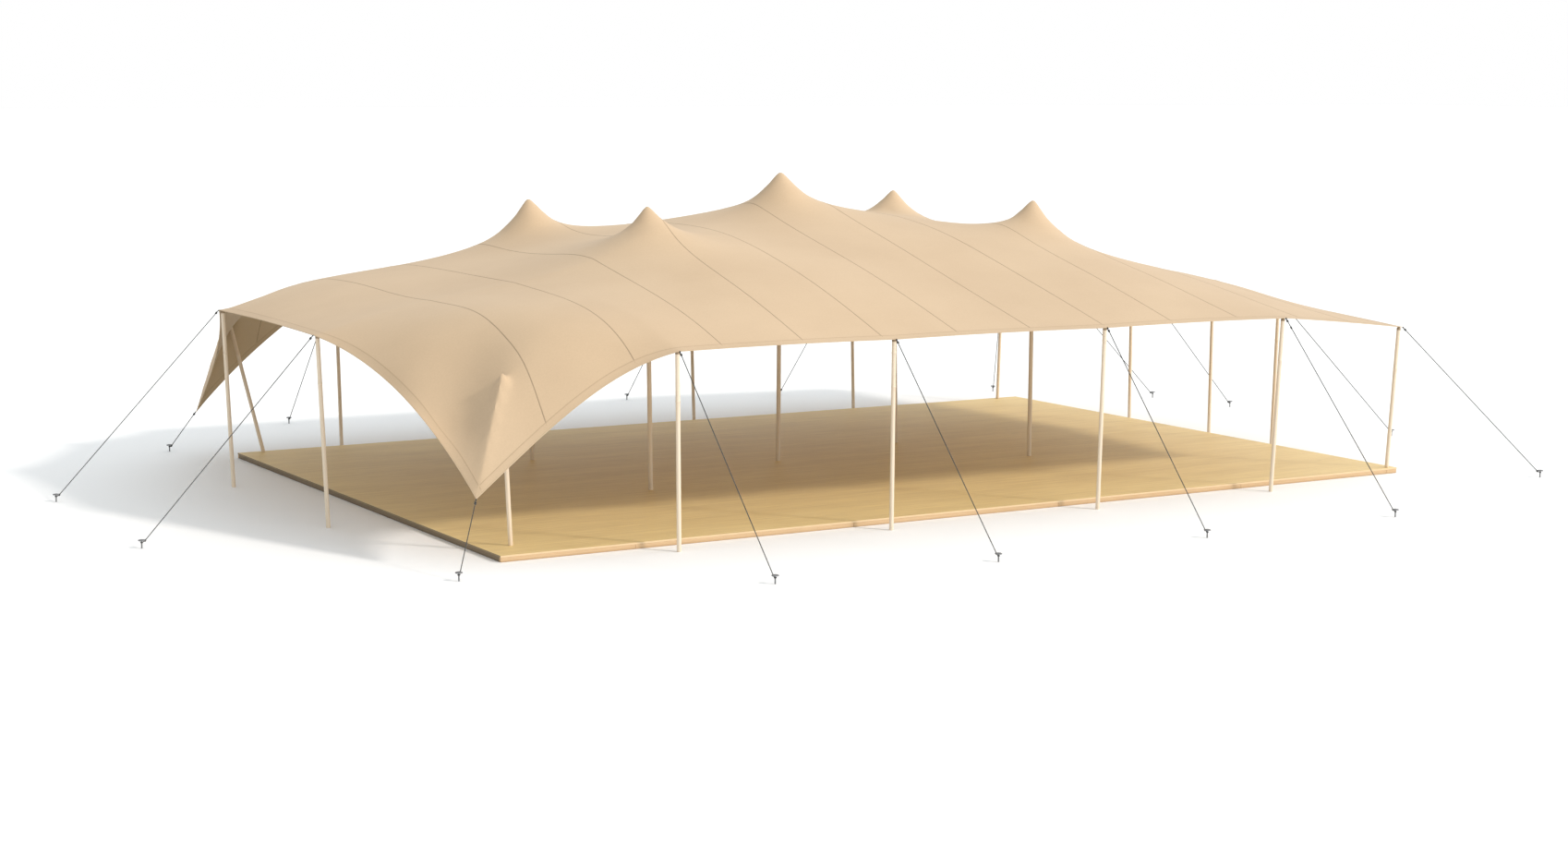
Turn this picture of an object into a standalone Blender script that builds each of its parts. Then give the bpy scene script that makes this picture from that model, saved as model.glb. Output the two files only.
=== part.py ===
"""Stretch tent over a low plywood platform.

One sheet of stretch fabric is pushed up by five inner poles and by poles round its rim,
two of its corners are pulled down low, and guy ropes hold the rim out to stakes.
Metres, +Z up. The origin is at ground level under the middle of the platform, the long
open front faces -Y, and the two low corners are at -X.
"""

import math

import bmesh
import bpy
import numpy as np
from mathutils import Vector
from mathutils.bvhtree import BVHTree
from mathutils.geometry import delaunay_2d_cdt

# Clearance between pieces that rest on each other, and how a seat on the fabric is searched
GAP = 0.0003
SEAT_SEARCH = 0.4
SEAT_STRIDE = 0.003
SEAT_FINE = 0.0001

# Platform
DECK_LENGTH = 15.0
DECK_DEPTH = 10.0
DECK_HEIGHT = 0.084
FLOOR_THICKNESS = 0.024
FRAME_BOARD = 0.045
JOIST_BAYS = 12

# Poles
POLE_RADIUS = 0.030
INNER_POLE_RADIUS = 0.034
POLE_SIDES = 12
POLE_RINGS = 3
RIM_MARGIN = 0.05

# Guy ropes and stakes
ROPE_RADIUS = 0.006
ROPE_SIDES = 6
ROPE_RINGS = 2
STAKE_HEIGHT = 0.118
STAKE_RADIUS = 0.012
STAKE_HEAD_RADIUS = 0.042
STAKE_HEAD_THICKNESS = 0.024
STAKE_SIDES = 12
KNOT_RADIUS = 0.015
KNOT_HEIGHT = 0.092
KNOT_REACH = 0.040

# Fabric
FABRIC_THICKNESS = 0.008
GRID_X = 132
GRID_Y = 88
CELL = 0.125

# Points where the rim of the fabric is held
RIM = {
    "front_left_tip": (-7.97, -5.35, 0.89),
    "front_1": (-5.24, -5.48, 2.57),
    "front_2": (-2.01, -5.50, 2.57),
    "front_3": (1.43, -5.56, 2.57),
    "front_4": (4.61, -5.62, 2.57),
    "front_right": (7.38, -5.13, 2.27),
    "right_1": (7.82, -1.90, 2.390),
    "right_2": (7.94, -0.11, 2.61),
    "right_3": (7.92, 2.07, 2.61),
    "right_4": (7.84, 4.50, 2.455),
    "back_right": (7.50, 5.45, 2.30),
    "back_1": (4.235, 5.65, 2.60),
    "back_2": (0.91, 5.65, 2.60),
    "back_3": (-2.30, 5.65, 2.60),
    "back_4": (-5.605, 5.65, 2.60),
    "back_left_tip": (-7.95, 5.65, 0.69),
    "left_1": (-8.63, 2.27, 2.61),
    "left_2": (-8.63, -1.62, 2.59),
}
FRONT_SIDE = ("front_left_tip", "front_1", "front_2", "front_3", "front_4", "front_right")
BACK_SIDE = ("back_left_tip", "back_4", "back_3", "back_2", "back_1", "back_right")
LEFT_SIDE = ("front_left_tip", "left_2", "left_1", "back_left_tip")
RIGHT_SIDE = ("front_right", "right_1", "right_2", "right_3", "right_4", "back_right")

# How far the middle of a rim span bows in and up, and how far the bow leans to one end
SPAN_BOW = (0.03, 0.01, 0.0)
TIP_BOWS = {
    ("front_left_tip", "front_1"): (0.12, 0.19, -0.39),
    ("front_left_tip", "left_2"): (0.10, 0.276, 0.0),
    ("left_1", "back_left_tip"): (0.15, 0.193, -0.21),
    ("back_left_tip", "back_4"): (0.05, 0.152, 0.34),
}

# Tops of the inner poles, where the fabric comes to a rounded peak
PEAKS = {
    "peak_1": (-3.805, 2.10, 4.14),
    "peak_2": (-3.553, -1.36, 4.18),
    "peak_3": (-0.455, 0.18, 4.56),
    "peak_4": (2.272, 1.20, 4.20),
    "peak_5": (3.293, -1.24, 4.12),
}
PEAK_CAP = 0.42
PEAK_ROUND = 0.035
PEAK_BEND = 0.22
TILT_REACH = 0.5

# How the fabric falls from each peak: curved share, even slope, and tilt along X
PEAK_FLANKS = {
    "peak_1": (0.355, 0.185, -0.437),
    "peak_2": (0.441, -0.195, -0.257),
    "peak_3": (0.238, 0.388, -0.130),
    "peak_4": (0.366, 0.001, 0.179),
    "peak_5": (0.378, 0.091, 0.498),
}

# How much fuller the flanks of a peak stand than a plain net, and how that tilts along X
PEAK_FULLNESS = {
    "peak_1": (-1.345, 0.088),
    "peak_2": (0.308, -0.252),
    "peak_3": (-0.837, 0.521),
    "peak_4": (-1.250, 1.118),
    "peak_5": (-0.321, -0.632),
}
PEAK_SPREAD = 0.35

# Low bumps over the two left corner poles, each with a taut fold down to its tip
BUMPS = {
    "front_left_tip": (-7.295, -4.631, 2.32),
    "back_left_tip": (-7.56, 5.20, 2.32),
}
FOLD_NODES = {"front_left_tip": 6, "back_left_tip": 4}

# Hollows beside the front fold, and how the fabric goes flat there
HOLLOWS = ((-7.74, -4.15, 3.6), (-8.02, -4.68, 1.6))
HOLLOW_SPREAD = 0.38
FLAT_FADE = 0.35

# Shape of the fabric: crown of the panels, and how the left corners fall to their tips
CROWN = 0.013
CROWN_SPREAD = 0.85
CROWN_ROWS = (-3.6, -1.2, 1.2, 3.6)
CROWN_COLUMNS = {
    -7.8: (0.013, -0.010, 0.147, 0.115),
    -6.4: (-0.094, -0.071, 0.021, 0.062),
    -4.8: (-0.069, -0.043, -0.110, 0.017),
    -3.2: (0.106, 0.023, -0.063, 0.025),
    -1.9: (0.042, -0.027, 0.009, 0.064),
    -0.6: (-0.010, -0.048, 0.036, 0.113),
    0.9: (-0.076, 0.072, 0.158, 0.155),
    2.4: (0.090, -0.001, -0.065, 0.101),
    4.0: (0.066, -0.113, -0.146, 0.026),
    5.6: (0.025, 0.029, -0.048, 0.004),
    7.0: (-0.033, 0.113, 0.026, 0.013),
}
SHOULDERS = ((-7.3, -4.6, 0.508), (-7.3, 5.3, -0.155))
SHOULDER_SPREAD = 1.333
SHOULDER_HEIGHT = 3.012
CORNER_REACH = 0.525

# Fineness of the faceted fabric
COARSE_STEP = 4
MIDDLE_STEP = 2
NEAR = 0.20
MIDDLE = 0.60
CORNER_MIDDLE = 1.30

# Feet of the poles, and what each pole holds up
POLES = {
    "pole_front_1": (-5.22, -5.43, "front_1"),
    "pole_front_2": (-2.01, -5.43, "front_2"),
    "pole_front_3": (1.43, -5.43, "front_3"),
    "pole_front_4": (4.60, -5.43, "front_4"),
    "pole_front_left": (-7.09, -4.40, "front_left_tip"),
    "pole_front_right": (7.37, -4.92, "front_right"),
    "pole_back_right": (7.02, 4.90, "back_right"),
    "pole_back_left": (-7.11, 4.92, "back_left_tip"),
    "pole_back_1": (4.22, 5.47, "back_1"),
    "pole_back_2": (0.91, 5.45, "back_2"),
    "pole_back_3": (-2.30, 5.45, "back_3"),
    "pole_back_4": (-5.60, 5.47, "back_4"),
    "pole_left_1": (-8.48, 2.27, "left_1"),
    "pole_left_2": (-8.48, -1.62, "left_2"),
    "pole_right_1": (7.87, -1.715, "right_1"),
    "pole_right_2": (7.89, -0.10, "right_2"),
    "pole_right_3": (7.887, 2.073, "right_3"),
    "pole_inner_1": (-3.76, 2.10, "peak_1"),
    "pole_inner_2": (-3.50, -1.36, "peak_2"),
    "pole_inner_3": (-0.47, 0.18, "peak_3"),
    "pole_inner_4": (2.20, 0.95, "peak_4"),
    "pole_inner_5": (3.25, -1.29, "peak_5"),
}

# Stakes, each under the rim point that its rope holds
GUYS = {
    "guy_front_left": (-8.42, -5.84, "front_left_tip"),
    "guy_front_1": (-5.21, -7.83, "front_1"),
    "guy_front_2": (-2.07, -7.98, "front_2"),
    "guy_front_3": (1.31, -7.94, "front_3"),
    "guy_front_4": (4.63, -7.96, "front_4"),
    "guy_front_right": (9.10, -6.40, "front_right"),
    "guy_right_1": (10.34, -1.93, "right_1"),
    "guy_right_3": (10.45, 2.37, "right_3"),
    "guy_right_4": (10.08, 4.16, "right_4"),
    "guy_back_right": (7.96, 6.38, "back_right"),
    "guy_back_1": (4.10, 7.90, "back_1"),
    "guy_back_2": (1.20, 8.60, "back_2"),
    "guy_back_3": (-2.30, 7.95, "back_3"),
    "guy_back_4": (-5.42, 8.47, "back_4"),
    "guy_back_left": (-8.22, 6.21, "back_left_tip"),
    "guy_left_1": (-11.08, 2.21, "left_1"),
    "guy_left_2": (-11.08, -1.90, "left_2"),
}

# Colour, roughness and metallic value of each material
MATERIALS = {
    "fabric": ((0.700, 0.530, 0.350), 0.75, 0.0),
    "pole_wood": ((0.855, 0.700, 0.502), 0.55, 0.0),
    "plywood": ((0.624, 0.434, 0.216), 0.60, 0.0),
    "deck_timber": ((0.730, 0.520, 0.290), 0.65, 0.0),
    "rope": ((0.230, 0.225, 0.215), 0.80, 0.0),
}


def clear_scene():
    for item in list(bpy.data.objects):
        bpy.data.objects.remove(item, do_unlink=True)


def make_material(name):
    """A plain shader with the colour, roughness and metallic value of one material."""
    colour, roughness, metallic = MATERIALS[name]
    material = bpy.data.materials.new(name)
    material.use_nodes = True
    shader = material.node_tree.nodes["Principled BSDF"]
    shader.inputs["Base Color"].default_value = (*colour, 1.0)
    shader.inputs["Roughness"].default_value = roughness
    shader.inputs["Metallic"].default_value = metallic
    return material


def link_mesh(name, mesh, material, smooth_angle=None):
    """Put a mesh into the scene as one named object."""
    mesh.materials.append(material)
    if smooth_angle is not None:
        mesh.shade_smooth()
        mesh.set_sharp_from_angle(angle=smooth_angle)
    item = bpy.data.objects.new(name, mesh)
    bpy.context.collection.objects.link(item)
    return item


def mesh_from_bmesh(name, shape):
    bmesh.ops.recalc_face_normals(shape, faces=shape.faces[:])
    mesh = bpy.data.meshes.new(name)
    shape.to_mesh(mesh)
    shape.free()
    return mesh


def span_bow(start, end, part):
    """Offset along one rim span: inward in plan, and up, leaning to one end of the span."""
    inward, upward, lean = TIP_BOWS.get((start, end), SPAN_BOW)
    along = np.array(RIM[end])[:2] - np.array(RIM[start])[:2]
    across = np.array((-along[1], along[0])) / np.hypot(*along)
    middle = (np.array(RIM[start])[:2] + np.array(RIM[end])[:2]) / 2
    if across @ middle > 0:
        across = -across
    share = 4 * part * (1 - part) * (1 + lean * (1 - 2 * part))
    return share * np.array((across[0] * inward, across[1] * inward, upward))


def rim_stops(names, count):
    """Grid index of each held point along one side of the rim."""
    points = np.array([RIM[name][:2] for name in names])
    lengths = np.hypot(*np.diff(points, axis=0).T)
    shares = np.concatenate([[0.0], np.cumsum(lengths)]) / lengths.sum()
    return [int(round(share * count)) for share in shares]


def rim_side(names, count):
    """One side of the rim as a row of points, one for each grid line that meets it."""
    stops = rim_stops(names, count)
    row = []
    for start, end, first, last in zip(names, names[1:], stops, stops[1:]):
        part = np.linspace(0.0, 1.0, last - first + 1)[:, None]
        straight = (1 - part) * np.array(RIM[start]) + part * np.array(RIM[end])
        bowed = straight + span_bow(start, end, part)
        row += list(bowed[:-1])
    row.append(np.array(RIM[names[-1]]))
    return np.array(row)


def plan_grid(front, back, left, right):
    """Plan position of each grid node, blended between the four sides."""
    u = np.linspace(0.0, 1.0, GRID_X + 1)[:, None, None]
    v = np.linspace(0.0, 1.0, GRID_Y + 1)[None, :, None]
    grid = (1 - v) * front[:, None] + v * back[:, None] + (1 - u) * left[None] + u * right[None]
    grid -= (1 - u) * (1 - v) * front[0] + u * (1 - v) * front[-1]
    grid -= (1 - u) * v * back[0] + u * v * back[-1]
    return grid[..., 0], grid[..., 1]


def relax(height, held, crown, spring, rounds, speed=1.95):
    """Let a stretched net settle: each free node moves to the mean of its neighbours."""
    across, along = np.indices(height.shape)
    free = np.zeros(height.shape, bool)
    free[1:-1, 1:-1] = True
    free &= ~held
    colours = [free & ((across + along) % 2 == parity) for parity in (0, 1)]
    for _ in range(rounds):
        for colour in colours:
            mean = height.copy()
            total = height[2:, 1:-1] + height[:-2, 1:-1] + height[1:-1, 2:] + height[1:-1, :-2]
            mean[1:-1, 1:-1] = (total + crown[1:-1, 1:-1]) / (4.0 + spring[1:-1, 1:-1])
            height = np.where(colour, height + speed * (mean - height), height)
    return height


def lifted(side, corner_first, anchor):
    """Rim heights as they would be with the low corner held up at the shoulder height."""
    side = side if corner_first else side[::-1]
    reach = np.hypot(anchor[0] - side[0, 0], anchor[1] - side[0, 1])
    share = np.hypot(side[:, 0] - side[0, 0], side[:, 1] - side[0, 1]) / reach
    level = SHOULDER_HEIGHT + (anchor[2] - SHOULDER_HEIGHT) * share
    height = np.where(share < 1.0, level, side[:, 2])
    return height if corner_first else height[::-1]


def fold_nodes(tip_name):
    """Grid nodes of the taut fold from a low tip to its bump: a diagonal of the grid."""
    count = np.arange(FOLD_NODES[tip_name] + 1)
    return (count, count if tip_name.startswith("front") else GRID_Y - count)


def patch(x, y, place_x, place_y, spread):
    """Smooth round patch of height 1 around one place in plan."""
    distance = np.hypot(x - place_x, y - place_y)
    return np.exp(-distance ** 2 / (2 * spread ** 2))


def line_up_folds(x, y):
    """Shift the net in each low corner, so that its diagonal lies on the fold."""
    across, along = np.indices(x.shape)
    for tip_name, bump in BUMPS.items():
        count = FOLD_NODES[tip_name]
        front = tip_name.startswith("front")
        rows = along if front else GRID_Y - along
        steps = np.arange(2 * count + 1)
        lines = steps if front else GRID_Y - steps
        place = np.stack([x[steps, lines], y[steps, lines]], axis=-1)
        tip = np.array(RIM[tip_name][:2])
        wanted = tip + (np.array(bump[:2]) - tip) * (steps / count)[:, None]
        shift = (wanted - place) * np.clip(2 - steps / count, 0, 1)[:, None]
        shift[count:] = shift[count] * np.clip(2 - steps[count:] / count, 0, 1)[:, None]
        along_fold = (across + rows) / 2
        beside = 1 - np.abs(across - rows) / np.maximum(across + rows, 1)
        near = along_fold < 2 * count
        x = x + near * beside * np.interp(along_fold, steps, shift[:, 0])
        y = y + near * beside * np.interp(along_fold, steps, shift[:, 1])
    return x, y


def slack(x, y):
    """0 in the flat facets beside each fold, and 1 elsewhere."""
    share = np.ones(x.shape)
    for tip_name, (bump_x, bump_y, _) in BUMPS.items():
        run = np.array(RIM[tip_name][:2]) - np.array((bump_x, bump_y))
        run /= np.hypot(*run)
        down = (x - bump_x) * run[0] + (y - bump_y) * run[1]
        part = np.clip(-down / FLAT_FADE, 0.0, 1.0)
        share *= part * part * (3 - 2 * part)
    return share


def peak_cap(name, x, y):
    """Height of the steep tip of one peak above a place in plan."""
    peak_x, peak_y, peak_z = PEAKS[name]
    curve, slope, tilt = PEAK_FLANKS[name]
    distance = np.hypot(x - peak_x, y - peak_y)
    run = np.hypot(distance, PEAK_ROUND) - PEAK_ROUND
    lean = tilt * (x - peak_x) * np.exp(-distance / TILT_REACH)
    return peak_z - curve * np.log(1 + run / PEAK_BEND) - slope * run - lean


def fabric_surface():
    """Height of the fabric over a fine grid: peaks first, then the falling corners."""
    front = rim_side(FRONT_SIDE, GRID_X)
    back = rim_side(BACK_SIDE, GRID_X)
    left = rim_side(LEFT_SIDE, GRID_Y)
    right = rim_side(RIGHT_SIDE, GRID_Y)
    x, y = line_up_folds(*plan_grid(front, back, left, right))
    loose = slack(x, y)

    high = np.full(x.shape, SHOULDER_HEIGHT)
    high[:, 0] = lifted(front, True, RIM["front_1"])
    high[:, -1] = lifted(back, True, RIM["back_4"])
    left_high = left.copy()
    left_high[:, 2] = lifted(left, True, RIM["left_2"])
    high[0, :] = lifted(left_high, False, RIM["left_1"])
    high[-1, :] = right[:, 2]
    crown = np.full(x.shape, CROWN)
    for place_x, values in CROWN_COLUMNS.items():
        for place_y, value in zip(CROWN_ROWS, values):
            crown += value * patch(x, y, place_x, place_y, CROWN_SPREAD)
    held = np.zeros(x.shape, bool)
    for peak_name, (peak_x, peak_y, _) in PEAKS.items():
        cap = np.hypot(x - peak_x, y - peak_y) < PEAK_CAP
        held |= cap
        high[cap] = peak_cap(peak_name, x[cap], y[cap])
        fullness, tilt = PEAK_FULLNESS[peak_name]
        share = fullness + tilt * (x - peak_x) / PEAK_SPREAD
        crown += share * patch(x, y, peak_x, peak_y, PEAK_SPREAD)
    for place_x, place_y, value in SHOULDERS:
        crown += value * patch(x, y, place_x, place_y, SHOULDER_SPREAD)
    high = relax(high, held, loose * crown * CELL ** 2, np.zeros(x.shape), 400)

    fall = np.zeros(x.shape)
    fall[:, 0] = high[:, 0] - front[:, 2]
    fall[:, -1] = high[:, -1] - back[:, 2]
    fall[0, :] = high[0, :] - left[:, 2]
    held = np.zeros(x.shape, bool)
    for tip_name, bump in BUMPS.items():
        nodes = fold_nodes(tip_name)
        held[nodes] = True
        share = np.linspace(0.0, 1.0, len(nodes[0]))
        tip_z = RIM[tip_name][2]
        fall[nodes] = high[nodes] - (tip_z + (bump[2] - tip_z) * share)
    sag = np.zeros(x.shape)
    for place_x, place_y, value in HOLLOWS:
        sag += value * patch(x, y, place_x, place_y, HOLLOW_SPREAD)
    fall = relax(fall, held, sag * CELL ** 2, loose * (CELL / CORNER_REACH) ** 2, 150)
    return np.stack([x, y, high - fall], axis=-1)


def kept_nodes(grid):
    """Grid nodes used by the faceted fabric: close together at peaks and low corners."""
    across, along = np.indices(grid.shape[:2])
    near = np.full(grid.shape[:2], np.inf)
    for peak_x, peak_y, _ in PEAKS.values():
        near = np.minimum(near, np.hypot(grid[..., 0] - peak_x, grid[..., 1] - peak_y))
    corner = np.full(grid.shape[:2], np.inf)
    for bump_x, bump_y, _ in BUMPS.values():
        corner = np.minimum(corner, np.hypot(grid[..., 0] - bump_x, grid[..., 1] - bump_y))
    step = np.full(grid.shape[:2], COARSE_STEP)
    step[(near < MIDDLE) | (corner < CORNER_MIDDLE)] = MIDDLE_STEP
    step[near < NEAR] = 1
    keep = (across % step == 0) & (along % step == 0)
    keep[rim_stops(FRONT_SIDE, GRID_X), 0] = True
    keep[rim_stops(BACK_SIDE, GRID_X), -1] = True
    keep[0, rim_stops(LEFT_SIDE, GRID_Y)] = True
    keep[-1, rim_stops(RIGHT_SIDE, GRID_Y)] = True
    for peak_x, peak_y, _ in PEAKS.values():
        keep &= np.hypot(grid[..., 0] - peak_x, grid[..., 1] - peak_y) > CELL / 2
    for tip_name in BUMPS:
        keep[fold_nodes(tip_name)] = True
    return keep


def rim_loop(keep):
    """Kept rim nodes in order round the outline, anticlockwise from the front left tip."""
    last_x, last_y = GRID_X, GRID_Y
    loop = [(i, 0) for i in range(last_x)]
    loop += [(last_x, j) for j in range(last_y)]
    loop += [(i, last_y) for i in range(last_x, 0, -1)]
    loop += [(0, j) for j in range(last_y, 0, -1)]
    return [node for node in loop if keep[node]]


def make_canopy(grid, material):
    """The fabric as a closed thin shell."""
    keep = kept_nodes(grid)
    loop = rim_loop(keep)
    rim_nodes = set(loop)
    inside = [tuple(node) for node in np.argwhere(keep) if tuple(node) not in rim_nodes]
    nodes = loop + inside
    points = [grid[node] for node in nodes]
    points += [np.array(apex) for apex in PEAKS.values()]
    flat = [Vector(point[:2]) for point in points]
    outline = list(range(len(loop)))
    folds = []
    for tip_name in BUMPS:
        line = [nodes.index(node) for node in zip(*fold_nodes(tip_name))]
        folds += zip(line, line[1:])
    result = delaunay_2d_cdt(flat, folds, [outline], 1, 1e-6)
    triangles, origins = result[2], result[3]
    shape = bmesh.new()
    upper = [shape.verts.new(points[origin[0]]) for origin in origins]
    for triangle in triangles:
        shape.faces.new([upper[index] for index in triangle])
    bmesh.ops.recalc_face_normals(shape, faces=shape.faces[:])
    shape.normal_update()
    if sum(face.normal.z for face in shape.faces) < 0:
        bmesh.ops.reverse_faces(shape, faces=shape.faces[:])
        shape.normal_update()
    normals = [vertex.normal.copy() for vertex in upper]
    lower = [
        shape.verts.new(vertex.co - normal * FABRIC_THICKNESS)
        for vertex, normal in zip(upper, normals)
    ]
    rim_edges = [edge for edge in shape.edges if edge.is_boundary]
    pair = {vertex: low for vertex, low in zip(upper, lower)}
    for face in list(shape.faces):
        shape.faces.new([pair[vertex] for vertex in reversed(face.verts)])
    for edge in rim_edges:
        first, second = edge.verts
        shape.faces.new([first, second, pair[second], pair[first]])
    mesh = mesh_from_bmesh("canopy", shape)
    return link_mesh("canopy", mesh, material, math.radians(40))


def fabric_tree(canopy):
    shape = bmesh.new()
    shape.from_mesh(canopy.data)
    tree = BVHTree.FromBMesh(shape)
    shape.free()
    return tree


def round_end(axis, radius, sides, rings):
    """Offsets of a rod's round end from its centre: one row for each ring, and the tip."""
    across = Vector((0, 1, 0)) if abs(axis.y) < 0.9 else Vector((1, 0, 0))
    side = axis.cross(across).normalized()
    other = axis.cross(side).normalized()
    turns = [2 * math.pi * index / sides for index in range(sides)]
    spokes = [side * math.cos(turn) + other * math.sin(turn) for turn in turns]
    rows = []
    for ring in range(rings):
        rise = 0.5 * math.pi * ring / rings
        centre = axis * radius * math.sin(rise)
        rows.append([centre + spoke * radius * math.cos(rise) for spoke in spokes])
    return rows, axis * radius


def spread_offsets(rows, tip_offset):
    """Places spread over a round end: its corners, and points along its edges."""
    offsets = [tip_offset]
    above = rows[1:] + [[tip_offset] * len(rows[0])]
    for row, next_row in zip(rows, above):
        for index, corner in enumerate(row):
            beside = row[index - 1]
            over = next_row[index]
            for share in (0.0, 0.25, 0.5, 0.75):
                offsets.append(corner.lerp(beside, share))
                offsets.append(corner.lerp(over, share))
            offsets.append((corner + beside + over + next_row[index - 1]) / 4)
    return offsets


def add_rod(shape, start, aim, radius, sides, rings, tree, under_fabric):
    """Round rod, cut level at its start, whose round end rests against the fabric."""
    axis = (aim - start).normalized()
    low = (aim - start).length - SEAT_SEARCH
    high = low
    while tree.find_nearest(start + axis * high)[3] > radius + GAP:
        low, high = high, high + SEAT_STRIDE
    while high - low > SEAT_FINE / 2:
        middle = (low + high) / 2
        if tree.find_nearest(start + axis * middle)[3] > radius + GAP:
            low = middle
        else:
            high = middle
    rows, tip_offset = round_end(axis, radius, sides, rings)
    if under_fabric:
        offsets = spread_offsets(rows, tip_offset)
        while all(tree.find_nearest(start + axis * low + offset)[3] > GAP for offset in offsets):
            low += SEAT_FINE
        low -= SEAT_FINE
    end = start + axis * low
    foot = []
    for offset in rows[0]:
        point = start + offset - axis * (offset.z / axis.z)
        foot.append(shape.verts.new(point))
    loops = [foot]
    for row in rows:
        loops.append([shape.verts.new(end + offset) for offset in row])
    tip = shape.verts.new(end + tip_offset)
    close_loops(shape, loops, tip)


def close_loops(shape, loops, tip):
    """Walls between rings of vertices, a flat first end and a fan to the tip."""
    count = len(loops[0])
    shape.faces.new(list(reversed(loops[0])))
    for lower, upper in zip(loops, loops[1:]):
        for index in range(count):
            after = (index + 1) % count
            shape.faces.new([lower[index], lower[after], upper[after], upper[index]])
    for index in range(count):
        shape.faces.new([loops[-1][index], loops[-1][(index + 1) % count], tip])


def make_pole(name, tree, material):
    """A straight wooden pole from the ground or the platform up to the fabric."""
    foot_x, foot_y, held = POLES[name]
    on_deck = abs(foot_x) < DECK_LENGTH / 2 and abs(foot_y) < DECK_DEPTH / 2
    start = Vector((foot_x, foot_y, DECK_HEIGHT + GAP if on_deck else 0.0))
    radius = INNER_POLE_RADIUS if held in PEAKS else POLE_RADIUS
    if held in PEAKS:
        aim = Vector(PEAKS[held])
    elif held in BUMPS:
        aim = Vector(BUMPS[held])
    else:
        aim = Vector(RIM[held])
        inward = Vector((-aim.x, -aim.y, 0.0))
        if held.startswith(("front_", "back_")) and not held.endswith("right"):
            inward.x = 0.0
        elif held.startswith(("left_", "right_")):
            inward.y = 0.0
        aim += inward.normalized() * RIM_MARGIN
    shape = bmesh.new()
    add_rod(shape, start, aim, radius, POLE_SIDES, POLE_RINGS, tree, True)
    return link_mesh(name, mesh_from_bmesh(name, shape), material, math.radians(50))


def make_helper(name, shape):
    """A hidden shape that is joined into another piece."""
    item = bpy.data.objects.new(name, mesh_from_bmesh(name, shape))
    bpy.context.collection.objects.link(item)
    item.hide_render = True
    item.display_type = "WIRE"
    return item


def stake_shape(place):
    """Turned pin with a mushroom head, standing on the ground."""
    under_head = STAKE_HEIGHT - STAKE_HEAD_THICKNESS
    profile = (
        (STAKE_RADIUS, 0.0),
        (STAKE_RADIUS, under_head),
        (STAKE_HEAD_RADIUS * 0.9, under_head + STAKE_HEAD_THICKNESS * 0.15),
        (STAKE_HEAD_RADIUS, under_head + STAKE_HEAD_THICKNESS * 0.5),
        (STAKE_HEAD_RADIUS * 0.8, under_head + STAKE_HEAD_THICKNESS * 0.85),
    )
    shape = bmesh.new()
    rings = []
    for radius, height in profile:
        ring = []
        for index in range(STAKE_SIDES):
            turn = 2 * math.pi * index / STAKE_SIDES
            offset = Vector((radius * math.cos(turn), radius * math.sin(turn), height))
            ring.append(shape.verts.new(place + offset))
        rings.append(ring)
    top = shape.verts.new(place + Vector((0.0, 0.0, STAKE_HEIGHT)))
    close_loops(shape, rings, top)
    return shape


def make_guy(name, tree, material):
    """Taut rope from the rim of the fabric to its stake, with the knot at the stake."""
    stake_x, stake_y, held = GUYS[name]
    place = Vector((stake_x, stake_y, 0.0))
    aim = Vector(RIM[held]) - Vector((0.0, 0.0, FABRIC_THICKNESS / 2))
    towards = Vector((aim.x - stake_x, aim.y - stake_y, 0.0)).normalized()
    knot = place + towards * KNOT_REACH + Vector((0.0, 0.0, KNOT_HEIGHT))
    rope = bmesh.new()
    add_rod(rope, knot, aim, ROPE_RADIUS, ROPE_SIDES, ROPE_RINGS, tree, False)
    knot_ball = bmesh.new()
    bmesh.ops.create_icosphere(knot_ball, subdivisions=1, radius=KNOT_RADIUS)
    bmesh.ops.translate(knot_ball, verts=knot_ball.verts[:], vec=knot)
    item = link_mesh(name, mesh_from_bmesh(name, stake_shape(place)), material, math.radians(50))
    for part_name, part in (("knot", knot_ball), ("line", rope)):
        helper = make_helper(f"{name}_{part_name}", part)
        join = item.modifiers.new(part_name, "BOOLEAN")
        join.operation = "UNION"
        join.object = helper
    return item


def make_deck_floor(material):
    """The plywood floor, resting on the frame."""
    shape = bmesh.new()
    bmesh.ops.create_cube(shape, size=1.0)
    size = Vector((DECK_LENGTH, DECK_DEPTH, FLOOR_THICKNESS))
    bmesh.ops.scale(shape, vec=size, verts=shape.verts[:])
    middle = Vector((0.0, 0.0, DECK_HEIGHT - FLOOR_THICKNESS / 2))
    bmesh.ops.translate(shape, vec=middle, verts=shape.verts[:])
    return link_mesh("deck_floor", mesh_from_bmesh("deck_floor", shape), material)


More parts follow.
